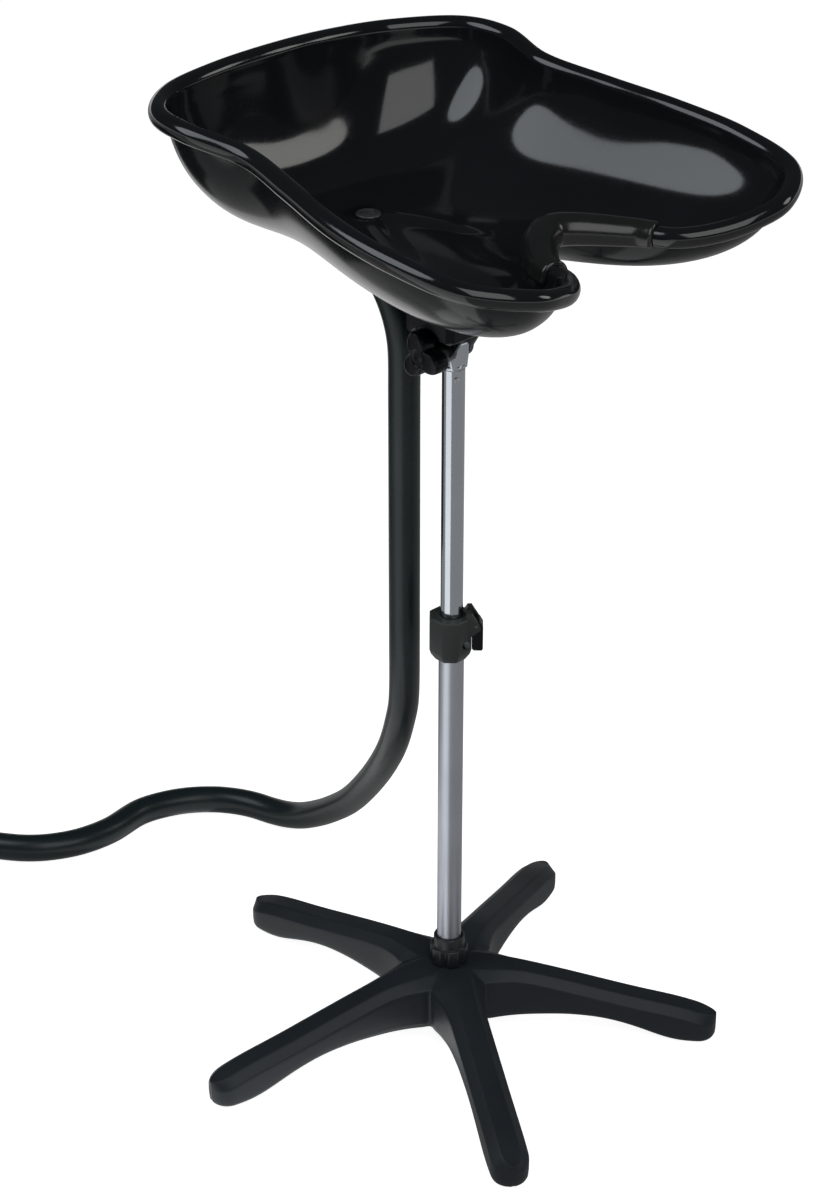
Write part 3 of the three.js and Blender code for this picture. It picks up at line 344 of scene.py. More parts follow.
def mouldedPlastic(name, dark, light, roughness, spread, grain, depth, specular=0.5):
    look = plasticLook
    finish = plainFinish(name, dark, roughness, specular=specular)
    cloud = noiseAt(finish, look["cloudScale"], look["cloudDetail"])
    fine = noiseAt(finish, grain, look["grainDetail"])
    tintedBy(finish, cloud, look["stops"], (dark, light))
    roughenedBy(finish, fine, roughness, spread)
    bumpedBy(finish, [(fine, look["grainBump"], depth),
                      (cloud, look["cloudBump"], look["cloudDepth"])])
    return finish


def metal(name, dark, light, roughness, scale, stretch=(1, 1, 1), spread=0.06, lines=0.25):
    look = metalLook
    finish = plainFinish(name, dark, roughness, metallic=1.0)
    brushed = noiseAt(finish, scale, look["brushDetail"], stretch)
    smudge = noiseAt(finish, look["smudgeScale"], look["smudgeDetail"])
    tintedBy(finish, smudge, look["stops"], (dark, light))
    roughenedBy(finish, brushed, roughness, spread)
    bumpedBy(finish, [(brushed, lines, look["brushDepth"])])
    return finish


plastics = {
    "glossShell": {"dark": (0.0075, 0.0082, 0.0095), "light": (0.0098, 0.0106, 0.0122),
                   "roughness": 0.10, "spread": 0.03, "grain": 420, "depth": 0.01},
    "satinShell": {"dark": (0.006, 0.0075, 0.009), "light": (0.009, 0.011, 0.013),
                   "roughness": 0.17, "spread": 0.04, "grain": 900, "depth": 0.01,
                   "specular": 0.3},
    "padRubber": {"dark": (0.011, 0.012, 0.012), "light": (0.018, 0.018, 0.017),
                  "roughness": 0.20, "spread": 0.04, "grain": 300, "depth": 0.004},
    "hoseVinyl": {"dark": (0.012, 0.020, 0.022), "light": (0.018, 0.028, 0.030),
                  "roughness": 0.33, "spread": 0.06, "grain": 800, "depth": 0.02,
                  "specular": 0.35},
    "baseMoulding": {"dark": (0.014, 0.019, 0.024), "light": (0.021, 0.027, 0.033),
                     "roughness": 0.48, "spread": 0.06, "grain": 1100, "depth": 0.04,
                     "specular": 0.3},
    "knobMoulding": {"dark": (0.003, 0.004, 0.006), "light": (0.006, 0.007, 0.010),
                     "roughness": 0.32, "spread": 0.06, "grain": 1100, "depth": 0.03,
                     "specular": 0.18},
    "collarMoulding": {"dark": (0.015, 0.017, 0.020), "light": (0.022, 0.024, 0.029),
                       "roughness": 0.34, "spread": 0.06, "grain": 1100, "depth": 0.03,
                       "specular": 0.4},
    "drainMoulding": {"dark": (0.030, 0.030, 0.031), "light": (0.044, 0.044, 0.045),
                      "roughness": 0.34, "spread": 0.06, "grain": 1100, "depth": 0.03},
    "clampMoulding": {"dark": (0.024, 0.031, 0.029), "light": (0.036, 0.044, 0.041),
                      "roughness": 0.42, "spread": 0.06, "grain": 1200, "depth": 0.04,
                      "specular": 0.35},
    "rubber": {"dark": (0.012, 0.012, 0.013), "light": (0.020, 0.020, 0.021),
               "roughness": 0.72, "spread": 0.08, "grain": 900, "depth": 0.06},
}
metals = {
    "chromeTube": {"dark": (0.47, 0.50, 0.54), "light": (0.53, 0.56, 0.60), "roughness": 0.12,
                   "scale": 160, "stretch": (1, 1, 0.05), "spread": 0.03, "lines": 0.1},
    "satinTube": {"dark": (0.44, 0.46, 0.505), "light": (0.50, 0.52, 0.57), "roughness": 0.40,
                  "scale": 160, "stretch": (1, 1, 0.05), "spread": 0.05},
    "zincSteel": {"dark": (0.48, 0.48, 0.50), "light": (0.60, 0.60, 0.61), "roughness": 0.28,
                  "scale": 400},
    # dark steel: black oxide on the clamp pin, screw and nut; on the tilt bracket this dark colour
    # is a painted dark reflection, standing for the dark surroundings that its zinc mirrors
    "blackOxideAndPaintedReflection": {"dark": (0.085, 0.095, 0.098), "light": (0.13, 0.14, 0.145),
                  "roughness": 0.34, "scale": 420},
}
finishes = {name: mouldedPlastic(name, **look) for name, look in plastics.items()}
finishes.update({name: metal(name, **look) for name, look in metals.items()})
print("finishes made")

# Hose
hoseSize = {
    "radius": 15.5, "bore": 12.7, "sides": 48, "step": 6.0, "endStep": 0.3, "samples": 3000,
    "upperLength": 200, "middleLength": 208, "start": 0.6, "sharp": 50,
    "elbowAngle": 40, "elbowBend": 20, "turnRadius": 110, "turnSteps": 6, "back": 65,
    "floorHeight": 864.0, "socketDrop": 24.3, "drainBack": 112, "landing": 13,
}
hoseRoute = [
    (0, 65, 700), (0, 65, 620), (0, 65, 540), (0, 65, 470), (0, 65, 430), (13.5, 79.8, 351.5),
    (21.8, 93.4, 318.5), (35.5, 116.5, 276.4), (52.4, 147, 233.6), (84.9, 205.3, 165.8),
    (115.1, 267.6, 101.1), (124.8, 300.9, 72.1), (129.9, 333.1, 47.9), (130.8, 367, 28.1),
    (129, 392.2, 19.5), (125.9, 413.6, 16.2), (120.9, 434.7, 15.8), (113.7, 452.1, 15.8),
    (105.3, 466.1, 15.8), (95.8, 478.4, 15.8), (74.3, 497.6, 15.8), (48.3, 511.6, 15.8),
    (16.2, 519.6, 15.8), (-35.5, 514.4, 15.8), (-75.4, 521.1, 15.8), (-106.7, 536.9, 15.8),
    (-126.9, 554.5, 15.8), (-145, 579, 15.8), (-161, 606, 15.8), (-170, 640, 15.8),
    (-170, 676, 15.8), (-161, 712, 15.8), (-146, 745, 15.8),
]


def hosePoints():
    size = hoseSize
    lean = math.radians(size["elbowAngle"])
    socketFoot = size["floorHeight"] - size["socketDrop"]
    start = Vector((0, size["drainBack"] - size["elbowBend"] * (1 - math.cos(lean)),
                    socketFoot - size["elbowBend"] * math.sin(lean)))
    along = Vector((0, -math.sin(lean), -math.cos(lean)))
    turnBack = size["turnRadius"] * (1 - math.cos(lean))
    lead = (start.y - size["back"] - turnBack) / math.sin(lean)
    turnFrom = start + along * lead
    points = [start + along * size["start"], start + along * (lead / 2)]
    for step in range(size["turnSteps"]):
        angle = lean * (1 - step / (size["turnSteps"] - 1))
        points.append(Vector((
            0, size["back"] + size["turnRadius"] * (1 - math.cos(angle)),
            turnFrom.z - size["turnRadius"] * (math.sin(lean) - math.sin(angle)))))
    points += [Vector(point) for point in hoseRoute]
    return [mast + point * mm for point in points]


def tubeAlong(path, tangents, radius, bore, sides):
    shape = bmesh.new()
    side = Vector((1, 0, 0))
    outer, inner = [], []
    for place, tangent in zip(path, tangents):
        side = (side - tangent * side.dot(tangent)).normalized()
        other = tangent.cross(side)
        for wall, reach in ((outer, radius), (inner, bore)):
            wall.append([
                place + (side * math.cos(fullTurn * k / sides)
                         + other * math.sin(fullTurn * k / sides)) * reach
                for k in range(sides)])
    skinRows(shape, outer + inner[::-1], joinEnds=True)
    return shape


hoseLine = lineThrough(hosePoints(), False)
linePoints = [hoseLine(k / hoseSize["samples"]) for k in range(hoseSize["samples"] + 1)]
lineLengths = runningLengths(linePoints)
hoseLength = lineLengths[-1]
hoseCuts = [0, hoseSize["upperLength"] * mm,
            (hoseSize["upperLength"] + hoseSize["middleLength"]) * mm, hoseLength]
hoseParts = [
    ("hoseUpper", "hose_upper", "column", "bowl", "object"),
    ("hoseMiddle", "hose_middle", "guide", "column", "object"),
    ("hoseLower", "hose_lower", "stand", "guide", "bare"),
]
for index, (name, node, lowBody, highBody, farEnd) in enumerate(hoseParts):
    begin, end = hoseCuts[index], hoseCuts[index + 1]
    count = round((end - begin) / (hoseSize["step"] * mm))
    places = [begin + (end - begin) * k / count for k in range(count + 1)]
    places.insert(1, begin + hoseSize["endStep"] * mm)
    places.insert(-1, end - hoseSize["endStep"] * mm)
    path = [alongLine(linePoints, lineLengths, place) for place in places]
    tangents = []
    for place in places:
        ahead = alongLine(linePoints, lineLengths, min(hoseLength, place + mm))
        behind = alongLine(linePoints, lineLengths, max(0, place - mm))
        tangents.append((ahead - behind).normalized())
    shape = tubeAlong(path, tangents, hoseSize["radius"] * mm, hoseSize["bore"] * mm,
                      hoseSize["sides"])
    piece = finishedPiece(name, shape, [finishes["hoseVinyl"]], sharp=hoseSize["sharp"])
    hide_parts(node)
    high, low = path[0], path[-1]
    if name == "hoseLower":
        low = mast + Vector(hoseRoute[hoseSize["landing"]]) * mm
    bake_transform(piece)
print("hose made, length", round(hoseLength, 3))

# Bowl
bowlSize = {
    "rimReach": 239, "rimHalfWidth": 222, "rimFall": 88, "neckHeight": 908, "rimStep": 2e-4,
    "floorHeight": 864, "wall": 4, "lipRadius": 9.5, "lipBegin": 180, "lipEnd": -65,
    "drainBack": 112, "drainHole": 9.6, "drainSeat": 30, "floorSlope": 0.035,
    "spread": 0.76, "spreadFront": 0.09, "spreadEnd": 0.31, "rise": 1.14,
    "stationsPerSpan": 12, "wallRows": 34, "lipRows": 16,
    "calm": 15, "calmFade": 1.1, "calmPasses": 2, "stillRows": 3, "smoothPasses": 12,
}
rimShares = [
    (0.992, 0, 1), (1, 0.324, 0.966), (0.937, 0.635, 0.946), (0.736, 0.869, 0.972),
    (0.54, 0.91, 0.95), (0.289, 0.85, 0.842), (-0.008, 0.91, 0.727), (-0.31, 0.982, 0.614),
    (-0.619, 1, 0.511), (-0.904, 0.932, 0.386), (-1.025, 0.72, 0.265), (-1.008, 0.577, 0.172),
    (-0.954, 0.455, 0.091), (-0.845, 0.329, 0.023), (-0.674, 0.252, 0), (-0.481, 0, 0.034),
]


def rimPoint(share, hand):
    back, side, height = share
    return Vector((hand * side * bowlSize["rimHalfWidth"], back * bowlSize["rimReach"],
                   bowlSize["neckHeight"] + height * bowlSize["rimFall"]))


rimPoints = [rimPoint(share, 1) for share in rimShares]
rimPoints += [rimPoint(share, -1) for share in rimShares[-2:0:-1]]
rimSpans = len(rimPoints)
neckSpan = len(rimShares) - 1
rimLine = lineThrough(rimPoints, True)


def rimAt(span):
    share = (span / rimSpans) % 1
    centre = rimLine(share)
    along = (rimLine((share + bowlSize["rimStep"]) % 1)
             - rimLine((share - bowlSize["rimStep"]) % 1))
    along.z = 0
    along.normalize()
    return centre, Vector((-along.y, along.x, 0))


def bowlWallLine(centre, outward, rows):
    size = bowlSize
    drain = Vector((0, size["drainBack"], 0))
    top = centre - outward * size["lipRadius"]
    level = Vector((top.x, top.y, 0))
    hole = drain + (level - drain).normalized() * size["drainHole"]
    forward = -centre.y / size["rimReach"]
    spread = size["spread"] - size["spreadFront"] * forward - size["spreadEnd"] * forward ** 2
    line = []
    for row in range(rows):
        angle = math.pi / 2 * row / rows
        point = hole.lerp(level, math.sin(angle) ** spread)
        fall = max(0, size["drainBack"] - point.y - size["drainSeat"])
        floor = size["floorHeight"] + size["wall"] - size["floorSlope"] * fall
        point.z = floor + (centre.z - floor) * (1 - math.cos(angle) ** size["rise"])
        line.append(point)
    return line


def lipLine(centre, outward, end, rows):
    radius, begin = bowlSize["lipRadius"], bowlSize["lipBegin"]
    line = []
    for row in range(rows + 1):
        angle = math.radians(begin + (end - begin) * row / rows)
        point = centre + outward * (radius * math.cos(angle))
        point.z = centre.z + radius * math.sin(angle)
        line.append(point)
    return line


def calmed(ring, reach):
    # each point of a ring moves to the mean of the points up to a reach on each side
    if not reach:
        return ring
    width = 2 * reach + 1
    total = sum(ring[-reach:] + ring[:reach + 1], Vector())
    result = []
    for index in range(len(ring)):
        result.append(total / width)
        total = total + ring[(index + reach + 1) % len(ring)] - ring[index - reach]
    return result


def bowlSheet():
    size = bowlSize
    columns = []
    for station in range(rimSpans * size["stationsPerSpan"]):
        centre, outward = rimAt(station / size["stationsPerSpan"])
        line = bowlWallLine(centre, outward, size["wallRows"])
        line += lipLine(centre, outward, size["lipEnd"], size["lipRows"])
        columns.append([mast + point * mm for point in line])
    rows = [list(row) for row in zip(*columns)]
    for index in range(size["wallRows"]):
        reach = round(size["calm"] * (1 - index / size["wallRows"]) ** size["calmFade"])
        for _ in range(size["calmPasses"]):
            rows[index] = calmed(rows[index], reach)
    return rows


shape = bmesh.new()
skinRows(shape, bowlSheet())
facedUp(shape)
shape.verts.ensure_lookup_table()
ringCount = rimSpans * bowlSize["stationsPerSpan"]
firstMoved = bowlSize["stillRows"] * ringCount
lastMoved = (bowlSize["wallRows"] - bowlSize["stillRows"]) * ringCount
wallVerts = [vert for vert in shape.verts if firstMoved <= vert.index < lastMoved]
for _ in range(bowlSize["smoothPasses"]):
    bmesh.ops.smooth_vert(shape, verts=wallVerts, factor=0.5, use_axis_x=True, use_axis_y=True,
                          use_axis_z=True)
bowl = finishedPiece("bowlShell", shape, [finishes["glossShell"], finishes["satinShell"]],
                     "bowl", ["bowl_shell"], recalc=False)
thick = hollowed(bowl, bowlSize["wall"], True)
thick.material_offset = 1
thick.material_offset_rim = 1
print("bowl made")

# Neck pad
padSize = {
    "reach": 1.5, "gap": 0.3, "edge": 3.4, "middle": 6.9, "end": -55, "stations": 84, "rows": 44,
    "bead": 0.5, "beadAt": 0.11, "beadWidth": 0.04, "rounding": 0.13, "sharp": 60,
    "wallRows": 48, "wallKept": 7, "lipRows": 40, "sideLeast": 0.25, "endLeast": 0.55,
    "endFrom": 0.965,
}


def padFace(span):
    centre, outward = rimAt(span)
    line = bowlWallLine(centre, outward, padSize["wallRows"])[-padSize["wallKept"]:]
    line += lipLine(centre, outward, padSize["end"], padSize["lipRows"])
    lengths = runningLengths(line)
    face = [alongLine(line, lengths, lengths[-1] * k / (padSize["rows"] - 1))
            for k in range(padSize["rows"])]
    return face, outward


def padRow(share):
    # one closed row round the pad, along its near face and back along its far face
    size = padSize
    face, outward = padFace(neckSpan - size["reach"] + 2 * size["reach"] * share)
    swell = math.sin(math.pi * share) ** 2
    pastEnd = max(0, abs(2 * share - 1) - size["endFrom"])
    endRound = max(0.0, 1 - pastEnd / (1 - size["endFrom"])) ** 0.5
    endThick = size["endLeast"] + (1 - size["endLeast"]) * endRound
    thickness = size["edge"] + (size["middle"] - size["edge"]) * swell
    near, far = [], []
    for k, point in enumerate(face):
        run = face[min(k + 1, len(face) - 1)] - face[max(k - 1, 0)]
        level, rise = run.dot(outward), run.z
        length = math.hypot(level, rise)
        normal = outward * (-rise / length)
        normal.z = level / length
        across = k / (len(face) - 1)
        toEdge = min(across, 1 - across)
        sideRound = math.sqrt(max(0.0, 1 - max(0, 1 - toEdge / size["rounding"]) ** 2))
        sideThick = size["sideLeast"] + (1 - size["sideLeast"]) * sideRound
        bead = size["bead"] * math.exp(-((toEdge - size["beadAt"]) / size["beadWidth"]) ** 2)
        local = (thickness + bead) * sideThick * endThick
        near.append(mast + (point + normal * size["gap"]) * mm)
        far.append(mast + (point + normal * (size["gap"] + local)) * mm)
    return near + far[::-1]


shape = bmesh.new()
padRows = [padRow(station / padSize["stations"]) for station in range(padSize["stations"] + 1)]
cappedEnds(shape, skinRows(shape, padRows))
neckPad = finishedPiece("neckPad", shape, [finishes["padRubber"]], "bowl", ["neck_pad"],
                        sharp=padSize["sharp"])
print("neck pad made")

# Base star
starSize = {
    "legs": 5, "turn": 93.4, "reach": 280, "height": 78, "tipHalf": 19.5, "tipLeast": 0.02,
    "flare": 32, "flareEnd": 0.33, "wall": 3.5, "edge": 8, "topWidth": 0.5, "glideStand": 2.5,
    "hubHole": 13.2, "hubClear": 30, "roundUntil": 16, "straightFrom": 45, "creaseLimit": 0.8,
    "edgeFrom": 20, "edgeRun": 16, "crown": 0.5, "skirt": 1.2, "ease": 0.02,
}
legTopShares = [
    (0, 1), (0.17, 1), (0.28, 0.97), (0.42, 0.865), (0.56, 0.75),
    (0.7, 0.635), (0.84, 0.54), (0.93, 0.455), (1, 0.35),
]
legUnderShares = [
    (0, 0.27), (0.16, 0.27), (0.3, 0.31), (0.45, 0.365), (0.58, 0.345),
    (0.68, 0.26), (0.78, 0.12), (0.85, 0.032), (1, 0.032),
]


def shareAt(table, place):
    for (x0, y0), (x1, y1) in zip(table, table[1:]):
        if place <= x1:
            return y0 + (y1 - y0) * (place - x0) / (x1 - x0)
    return table[-1][1]


def easedShareAt(table, place):
    # the mean of five places round this one, which rounds the table's corners
    steps = (-2, -1, 0, 1, 2)
    near = [min(1, max(0, place + starSize["ease"] * k)) for k in steps]
    return sum(shareAt(table, share) for share in near) / len(steps)


def legTop(along):
    return easedShareAt(legTopShares, along / starSize["reach"]) * starSize["height"]


def legUnder(along):
    return max(starSize["glideStand"],
               easedShareAt(legUnderShares, along / starSize["reach"]) * starSize["height"])


def legHalfWidth(along):
    flareEnd = starSize["flareEnd"] * starSize["reach"]
    flare = max(0, (flareEnd - along) / flareEnd)
    half = starSize["tipHalf"] + starSize["flare"] * flare ** 2
    tipCentre = starSize["reach"] - starSize["tipHalf"]
    if along > tipCentre:
        part = min(1, (along - tipCentre) / starSize["tipHalf"])
        half = starSize["tipHalf"] * math.sqrt(max(starSize["tipLeast"], 1 - part ** 2))
    return half


wedge = math.pi / starSize["legs"]
hubRadii = [starSize["hubHole"], 16, 20, 24, 28, 32, 36, 40, 45]
legPlaces = [50, 54, 58, 64, 72, 82, 94, 108, 122, 136, 152, 168, 184, 200, 214, 226, 238, 248,
             256, 262, 266.5, 270.5, 274, 276.6, 278.4, 279.6, 280]
topColumns = [0, 0.5, 0.86, 1]
edgeColumns = [0.14, 0.55, 0.86, 1]
starPlace = (Matrix.Translation(mast)
             @ Matrix.Rotation(math.radians(starSize["turn"]), 4, "Z"))


def legRow(radius):
    # half of one row across a leg, from its middle line to its side or to the next leg
    size = starSize
    fullHalf = legHalfWidth(radius)
    end = min(fullHalf, radius * math.tan(wedge))
    crease = min(size["topWidth"] * fullHalf, size["creaseLimit"] * end)
    across = [crease * share for share in topColumns]
    across += [crease + (end - crease) * share for share in edgeColumns]
    toLeg = min(1, max(0, (radius - size["roundUntil"])
                       / (size["straightFrom"] - size["roundUntil"])))
    ease = min(1, max(0, (radius - size["edgeFrom"]) / size["edgeRun"]))
    top = legTop(radius)
    row = []
    for y in across:
        angle = wedge * y / end
        point = Vector((radius * math.cos(angle), radius * math.sin(angle), 0)).lerp(
            Vector((radius, y, 0)), toLeg)
        beyond = max(0, (y / fullHalf - size["topWidth"]) / (1 - size["topWidth"]))
        point.z = top - size["edge"] * beyond * ease - size["crown"] * (y / fullHalf) ** 2 * ease
        row.append(point)
    return row


shape = bmesh.new()
starRows = []
for radius in hubRadii + legPlaces:
    row = legRow(radius)
    mirrored = [Vector((point.x, -point.y, point.z)) for point in row[:0:-1]]
    starRows.append([point * mm for point in mirrored + row])
skinRows(shape, starRows, closed=False)
source = shape.verts[:] + shape.edges[:] + shape.faces[:]
for leg in range(1, starSize["legs"]):
    made = bmesh.ops.duplicate(shape, geom=source)
    bmesh.ops.rotate(shape, cent=(0, 0, 0), verts=vertsOf(made),
                     matrix=Matrix.Rotation(fullTurn * leg / starSize["legs"], 3, "Z"))
bmesh.ops.remove_doubles(shape, verts=shape.verts, dist=tiny["star"])
rimEdges = [edge for edge in shape.edges if edge.is_boundary
            and max(vert.co.xy.length for vert in edge.verts) > starSize["hubClear"] * mm]
made = bmesh.ops.extrude_edge_only(shape, edges=rimEdges)
for vert in vertsOf(made):
    vert.co.z -= starSize["skirt"] * mm
skirtEdges = [item for item in made["geom"] if isinstance(item, bmesh.types.BMEdge)
              and item.is_boundary]
made = bmesh.ops.extrude_edge_only(shape, edges=skirtEdges)
for vert in vertsOf(made):
    vert.co.z = legUnder(vert.co.xy.length / mm) * mm
moved(shape, starPlace)
facedUp(shape)
star = finishedPiece("baseStar", shape, [finishes["baseMoulding"]], "stand", ["base_star"],
                     recalc=False)
hollowed(star, starSize["wall"], False)
rounding = star.modifiers.new("smooth", "SUBSURF")
rounding.levels = 1
rounding.render_levels = 1

# ribs and tube seat inside the star, seen from below
ribSize = {
    "thick": 2.6, "crossPlaces": [0.38, 0.62], "spineUnder": 8, "into": 1.8, "lift": 2.2,
    "spineSteps": 44, "boss": 18.5, "bossBore": 12.9, "bossFloor": (18, 24), "boltHole": 4.3,
    "bossInto": 1, "bossEdge": 0.6, "bossDrop": 2, "bossSteps": 72, "sharp": 40,
}


def plateIn(shape, outline):
    # a flat outline in the plane across x, as thick as the ribs, half to each side
    thick = ribSize["thick"]
    verts = [shape.verts.new((point[0] * mm - thick / 2 * mm, point[1] * mm, point[2] * mm))
             for point in outline]
    made = bmesh.ops.extrude_face_region(shape, geom=[shape.faces.new(verts)])
    far = vertsOf(made)
    bmesh.ops.translate(shape, vec=(thick * mm, 0, 0), verts=far)
    return verts + far


def spineOutline():
    size = ribSize
    end = starSize["reach"] - starSize["wall"] / 2
    begin = size["boss"] - size["bossInto"]
    places = [begin + (end - begin) * k / size["spineSteps"]
              for k in range(size["spineSteps"] + 1)]
    outline = [(0, along, legTop(along) - size["into"]) for along in places]
    outline += [(0, along, max(size["spineUnder"], legUnder(along) + size["lift"]))
                for along in places[::-1]]
    return outline


def crossOutline(along):
    half = legHalfWidth(along) - ribSize["into"]
    crease = starSize["topWidth"] * half
    top = legTop(along) - ribSize["into"]
    side = legTop(along) - starSize["edge"] - ribSize["into"]
    under = legUnder(along) + ribSize["lift"]
    return [(along, -half, under), (along, half, under), (along, half, side),
            (along, crease, top), (along, -crease, top), (along, -half, side)]


shape = bmesh.new()
for leg in range(starSize["legs"]):
    turnLeg = Matrix.Rotation(fullTurn * leg / starSize["legs"], 4, "Z")
    verts = plateIn(shape, spineOutline())
    bmesh.ops.transform(shape, matrix=turnLeg @ Matrix.Rotation(-math.pi / 2, 4, "Z"), verts=verts)
    for share in ribSize["crossPlaces"]:
        verts = plateIn(shape, crossOutline(share * starSize["reach"]))
        bmesh.ops.transform(shape, matrix=turnLeg, verts=verts)
size = ribSize
bossUnder, bossTop = size["bossFloor"]
seatTop = starSize["height"] - size["bossDrop"]
turned(shape, [(size["boltHole"], bossUnder), (size["boss"] - size["bossEdge"], bossUnder),
               (size["boss"], bossUnder + size["bossEdge"]), (size["boss"], seatTop),
               (size["bossBore"], seatTop), (size["bossBore"], bossTop),
               (size["boltHole"], bossTop)], size["bossSteps"])
moved(shape, starPlace)
finishedPiece("starRibs", shape, [finishes["baseMoulding"]], "stand", None,
              sharp=ribSize["sharp"])
print("base star made")


# Column
def atColumn(height):
    return Matrix.Translation((mast.x, mast.y, height))


def tube(name, node, finish, body, radius, bore, edge=0.3, steps=96):
    low, high = nodeBox(node)
    bottom, top = low.z / mm, high.z / mm
    profile = [(bore, bottom), (radius, bottom), (radius, top), (bore, top)]
    piece = turnedPiece(name, node, profile, atColumn(0), finish, body, steps)
    roundEdges(piece, edge)


tube("lowerTube", "lower_tube", "satinTube", "stand", radius=12.5, bore=11.3)
tube("upperTube", "upper_tube", "chromeTube", "column", radius=11, bore=9.5)

# solids that are shown as they are, in the scene's finishes
for node, finish in (("column_bush", "rubber"), ("tube_plug", "knobMoulding"),
                     ("clamp_liner", "rubber")):
    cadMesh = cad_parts[node].data
    cadMesh.materials.clear()
    cadMesh.materials.append(finishes[finish])

# lobed collar at the hub
collarSize = {"radius": 19.5, "lobes": 6, "groove": 3.2, "step": 16.1, "stepAt": 19.8,
              "height": 32, "bore": 12.8, "sides": 144, "sharp": 50}


def lobedReach(inset):
    def reach(angle):
        dip = max(0.0, -math.cos(collarSize["lobes"] * angle)) ** 2
        return collarSize["radius"] - inset - collarSize["groove"] * dip
    return reach


size = collarSize
collarRows = [
    (lobedReach(1.0), 0), (lobedReach(0.3), 0.3), (lobedReach(0), 1.0),
    (lobedReach(0), size["stepAt"] - 1.8), (lobedReach(0.5), size["stepAt"] - 0.6),
    (lobedReach(1.6), size["stepAt"]), (size["step"] + 0.6, size["stepAt"]),
    (size["step"] + 0.1, size["stepAt"] + 0.6), (size["step"], size["stepAt"] + 1.4),
    (size["step"] - 0.3, size["height"] - 1.2), (size["step"] - 0.8, size["height"] - 0.3),
    (size["step"] - 1.6, size["height"]), (size["bore"] + 0.3, size["height"]),
    (size["bore"], size["height"] - 0.4), (size["bore"], 0.4), (size["bore"] + 0.4, 0),
]
grownPiece("hubCollar", "hub_collar", collarRows, atColumn(nodeBox("hub_collar")[0].z),
           "collarMoulding", "stand", size["sides"], joinEnds=True, sharp=size["sharp"])

# round rubber glides under the leg ends
glideSize = {"steps": 64, "profile": [
    (0, 0), (9, 0), (9.6, 0.5), (10.4, 0.5), (11, 0), (12.4, 0), (13.6, 0.5), (14, 1.4), (14, 5.2),
    (13.7, 5.5), (0, 5.5)]}
for number in range(1, starSize["legs"] + 1):
    node = f"glide_{number}"
    middle = nodeMiddle(node)
    turnedPiece(f"glide{number}", node, glideSize["profile"],
                Matrix.Translation((middle.x, middle.y, 0)), "rubber", "stand",
                glideSize["steps"], ring=False)

# bolt and washer under the hub, and the washers of the tilt joint
washerSize = {"bore": 4.3, "thick": 1.6, "edge": 0.3, "steps": 64, "base": 11, "tilt": 8.5}


def washer(name, node, radius, place, body):
    bore, thick, edge = washerSize["bore"], washerSize["thick"], washerSize["edge"]
    profile = [(bore, 0), (radius - edge, 0), (radius, edge), (radius, thick - edge),
               (radius - edge, thick), (bore, thick)]
    turnedPiece(name, node, profile, place, "zincSteel", body, washerSize["steps"])


washer("baseWasher", "base_washer", washerSize["base"], atColumn(nodeBox("base_washer")[0].z),
       "stand")
low, high = nodeBox("base_bolt")
length = (high.z - low.z) / mm
boltRows = [(5.4, 0), (hexReach(6.5), 0.1), (hexReach(7), 0.6), (hexReach(7), 5), (4.2, 5),
            (3.9, 5.3), (3.9, length - 0.8), (3.2, length)]
grownPiece("baseBolt", "base_bolt", boltRows, atColumn(low.z), "zincSteel", "stand",
           sides=72, sharp=40)

# column clamp
softened("clamp_collar", "clampCollar", "clampMoulding", "stand", width=0.7)
softened("clamp_lever", "clampLever", "knobMoulding", "lever", width=1.1, segments=4)
softened("clamp_pin", "clampPin", "blackOxideAndPaintedReflection", "stand", width=0.3, segments=2, angle=60)
softened("clamp_screw", "clampScrew", "blackOxideAndPaintedReflection", "stand", width=0.3, segments=2,
         angle=60)
softened("clamp_nut", "clampNut", "blackOxideAndPaintedReflection", "stand", width=0.3, segments=2, angle=40)
print("column made")

# Tilt joint
softened("tube_head", "tubeHead", "chromeTube", "column", width=0.2, segments=2,
         angle=45, sharp=32)
# the tilt bracket is zinc; its dark metal colour is a painted dark reflection of dark surroundings,
# not its own colour
softened("tilt_bracket", "tiltBracket", "blackOxideAndPaintedReflection", "bowl", width=0.5)
softened("head_screw", "headScrew", "zincSteel", "column", width=0.25, segments=2,
         angle=50)
softened("bowl_pedestal", "bowlPedestal", "knobMoulding", "bowl", width=1.2)

tiltHeight = nodeMiddle("tilt_bolt").z


def onTiltAxis(start, hand):
    return Matrix.Translation((start, mast.y, tiltHeight)) @ Matrix.Rotation(
        hand * math.pi / 2, 4, "Y")


low, high = nodeBox("tilt_bolt")
length = (high.x - low.x) / mm
boltRows = [(3.2, 0), (4, 0.8), (4, length - 5.6), (7, length - 5.5), (7, length - 3),
            (6.6, length - 1.6), (5.4, length - 0.5), (4.2, length), (hexReach(2.9), length),
            (hexReach(2.8), length - 0.3), (hexReach(2.8), length - 2.6)]
grownPiece("tiltBolt", "tilt_bolt", boltRows, onTiltAxis(low.x, 1), "zincSteel", "bowl",
           sides=96, sharp=40)
for name, node in (("tiltWasherLeft", "tilt_washer_left"), ("tiltWasherRight", "tilt_washer_right")):
    washer(name, node, washerSize["tilt"], onTiltAxis(nodeBox(node)[0].x, 1), "bowl")

knobSize = {"waist": 12, "reach": 25, "lobes": 3, "turn": 20, "boss": 11, "bossLength": 15,
            "head": 18, "fullness": 0.8, "sides": 144, "sharp": 60}


def knobReach(inset):
    def reach(angle):
        swell = (1 + math.cos(knobSize["lobes"] * (angle - math.radians(knobSize["turn"])))) / 2
        lobe = (knobSize["reach"] - knobSize["waist"]) * swell ** knobSize["fullness"]
        return knobSize["waist"] + lobe - inset
    return reach


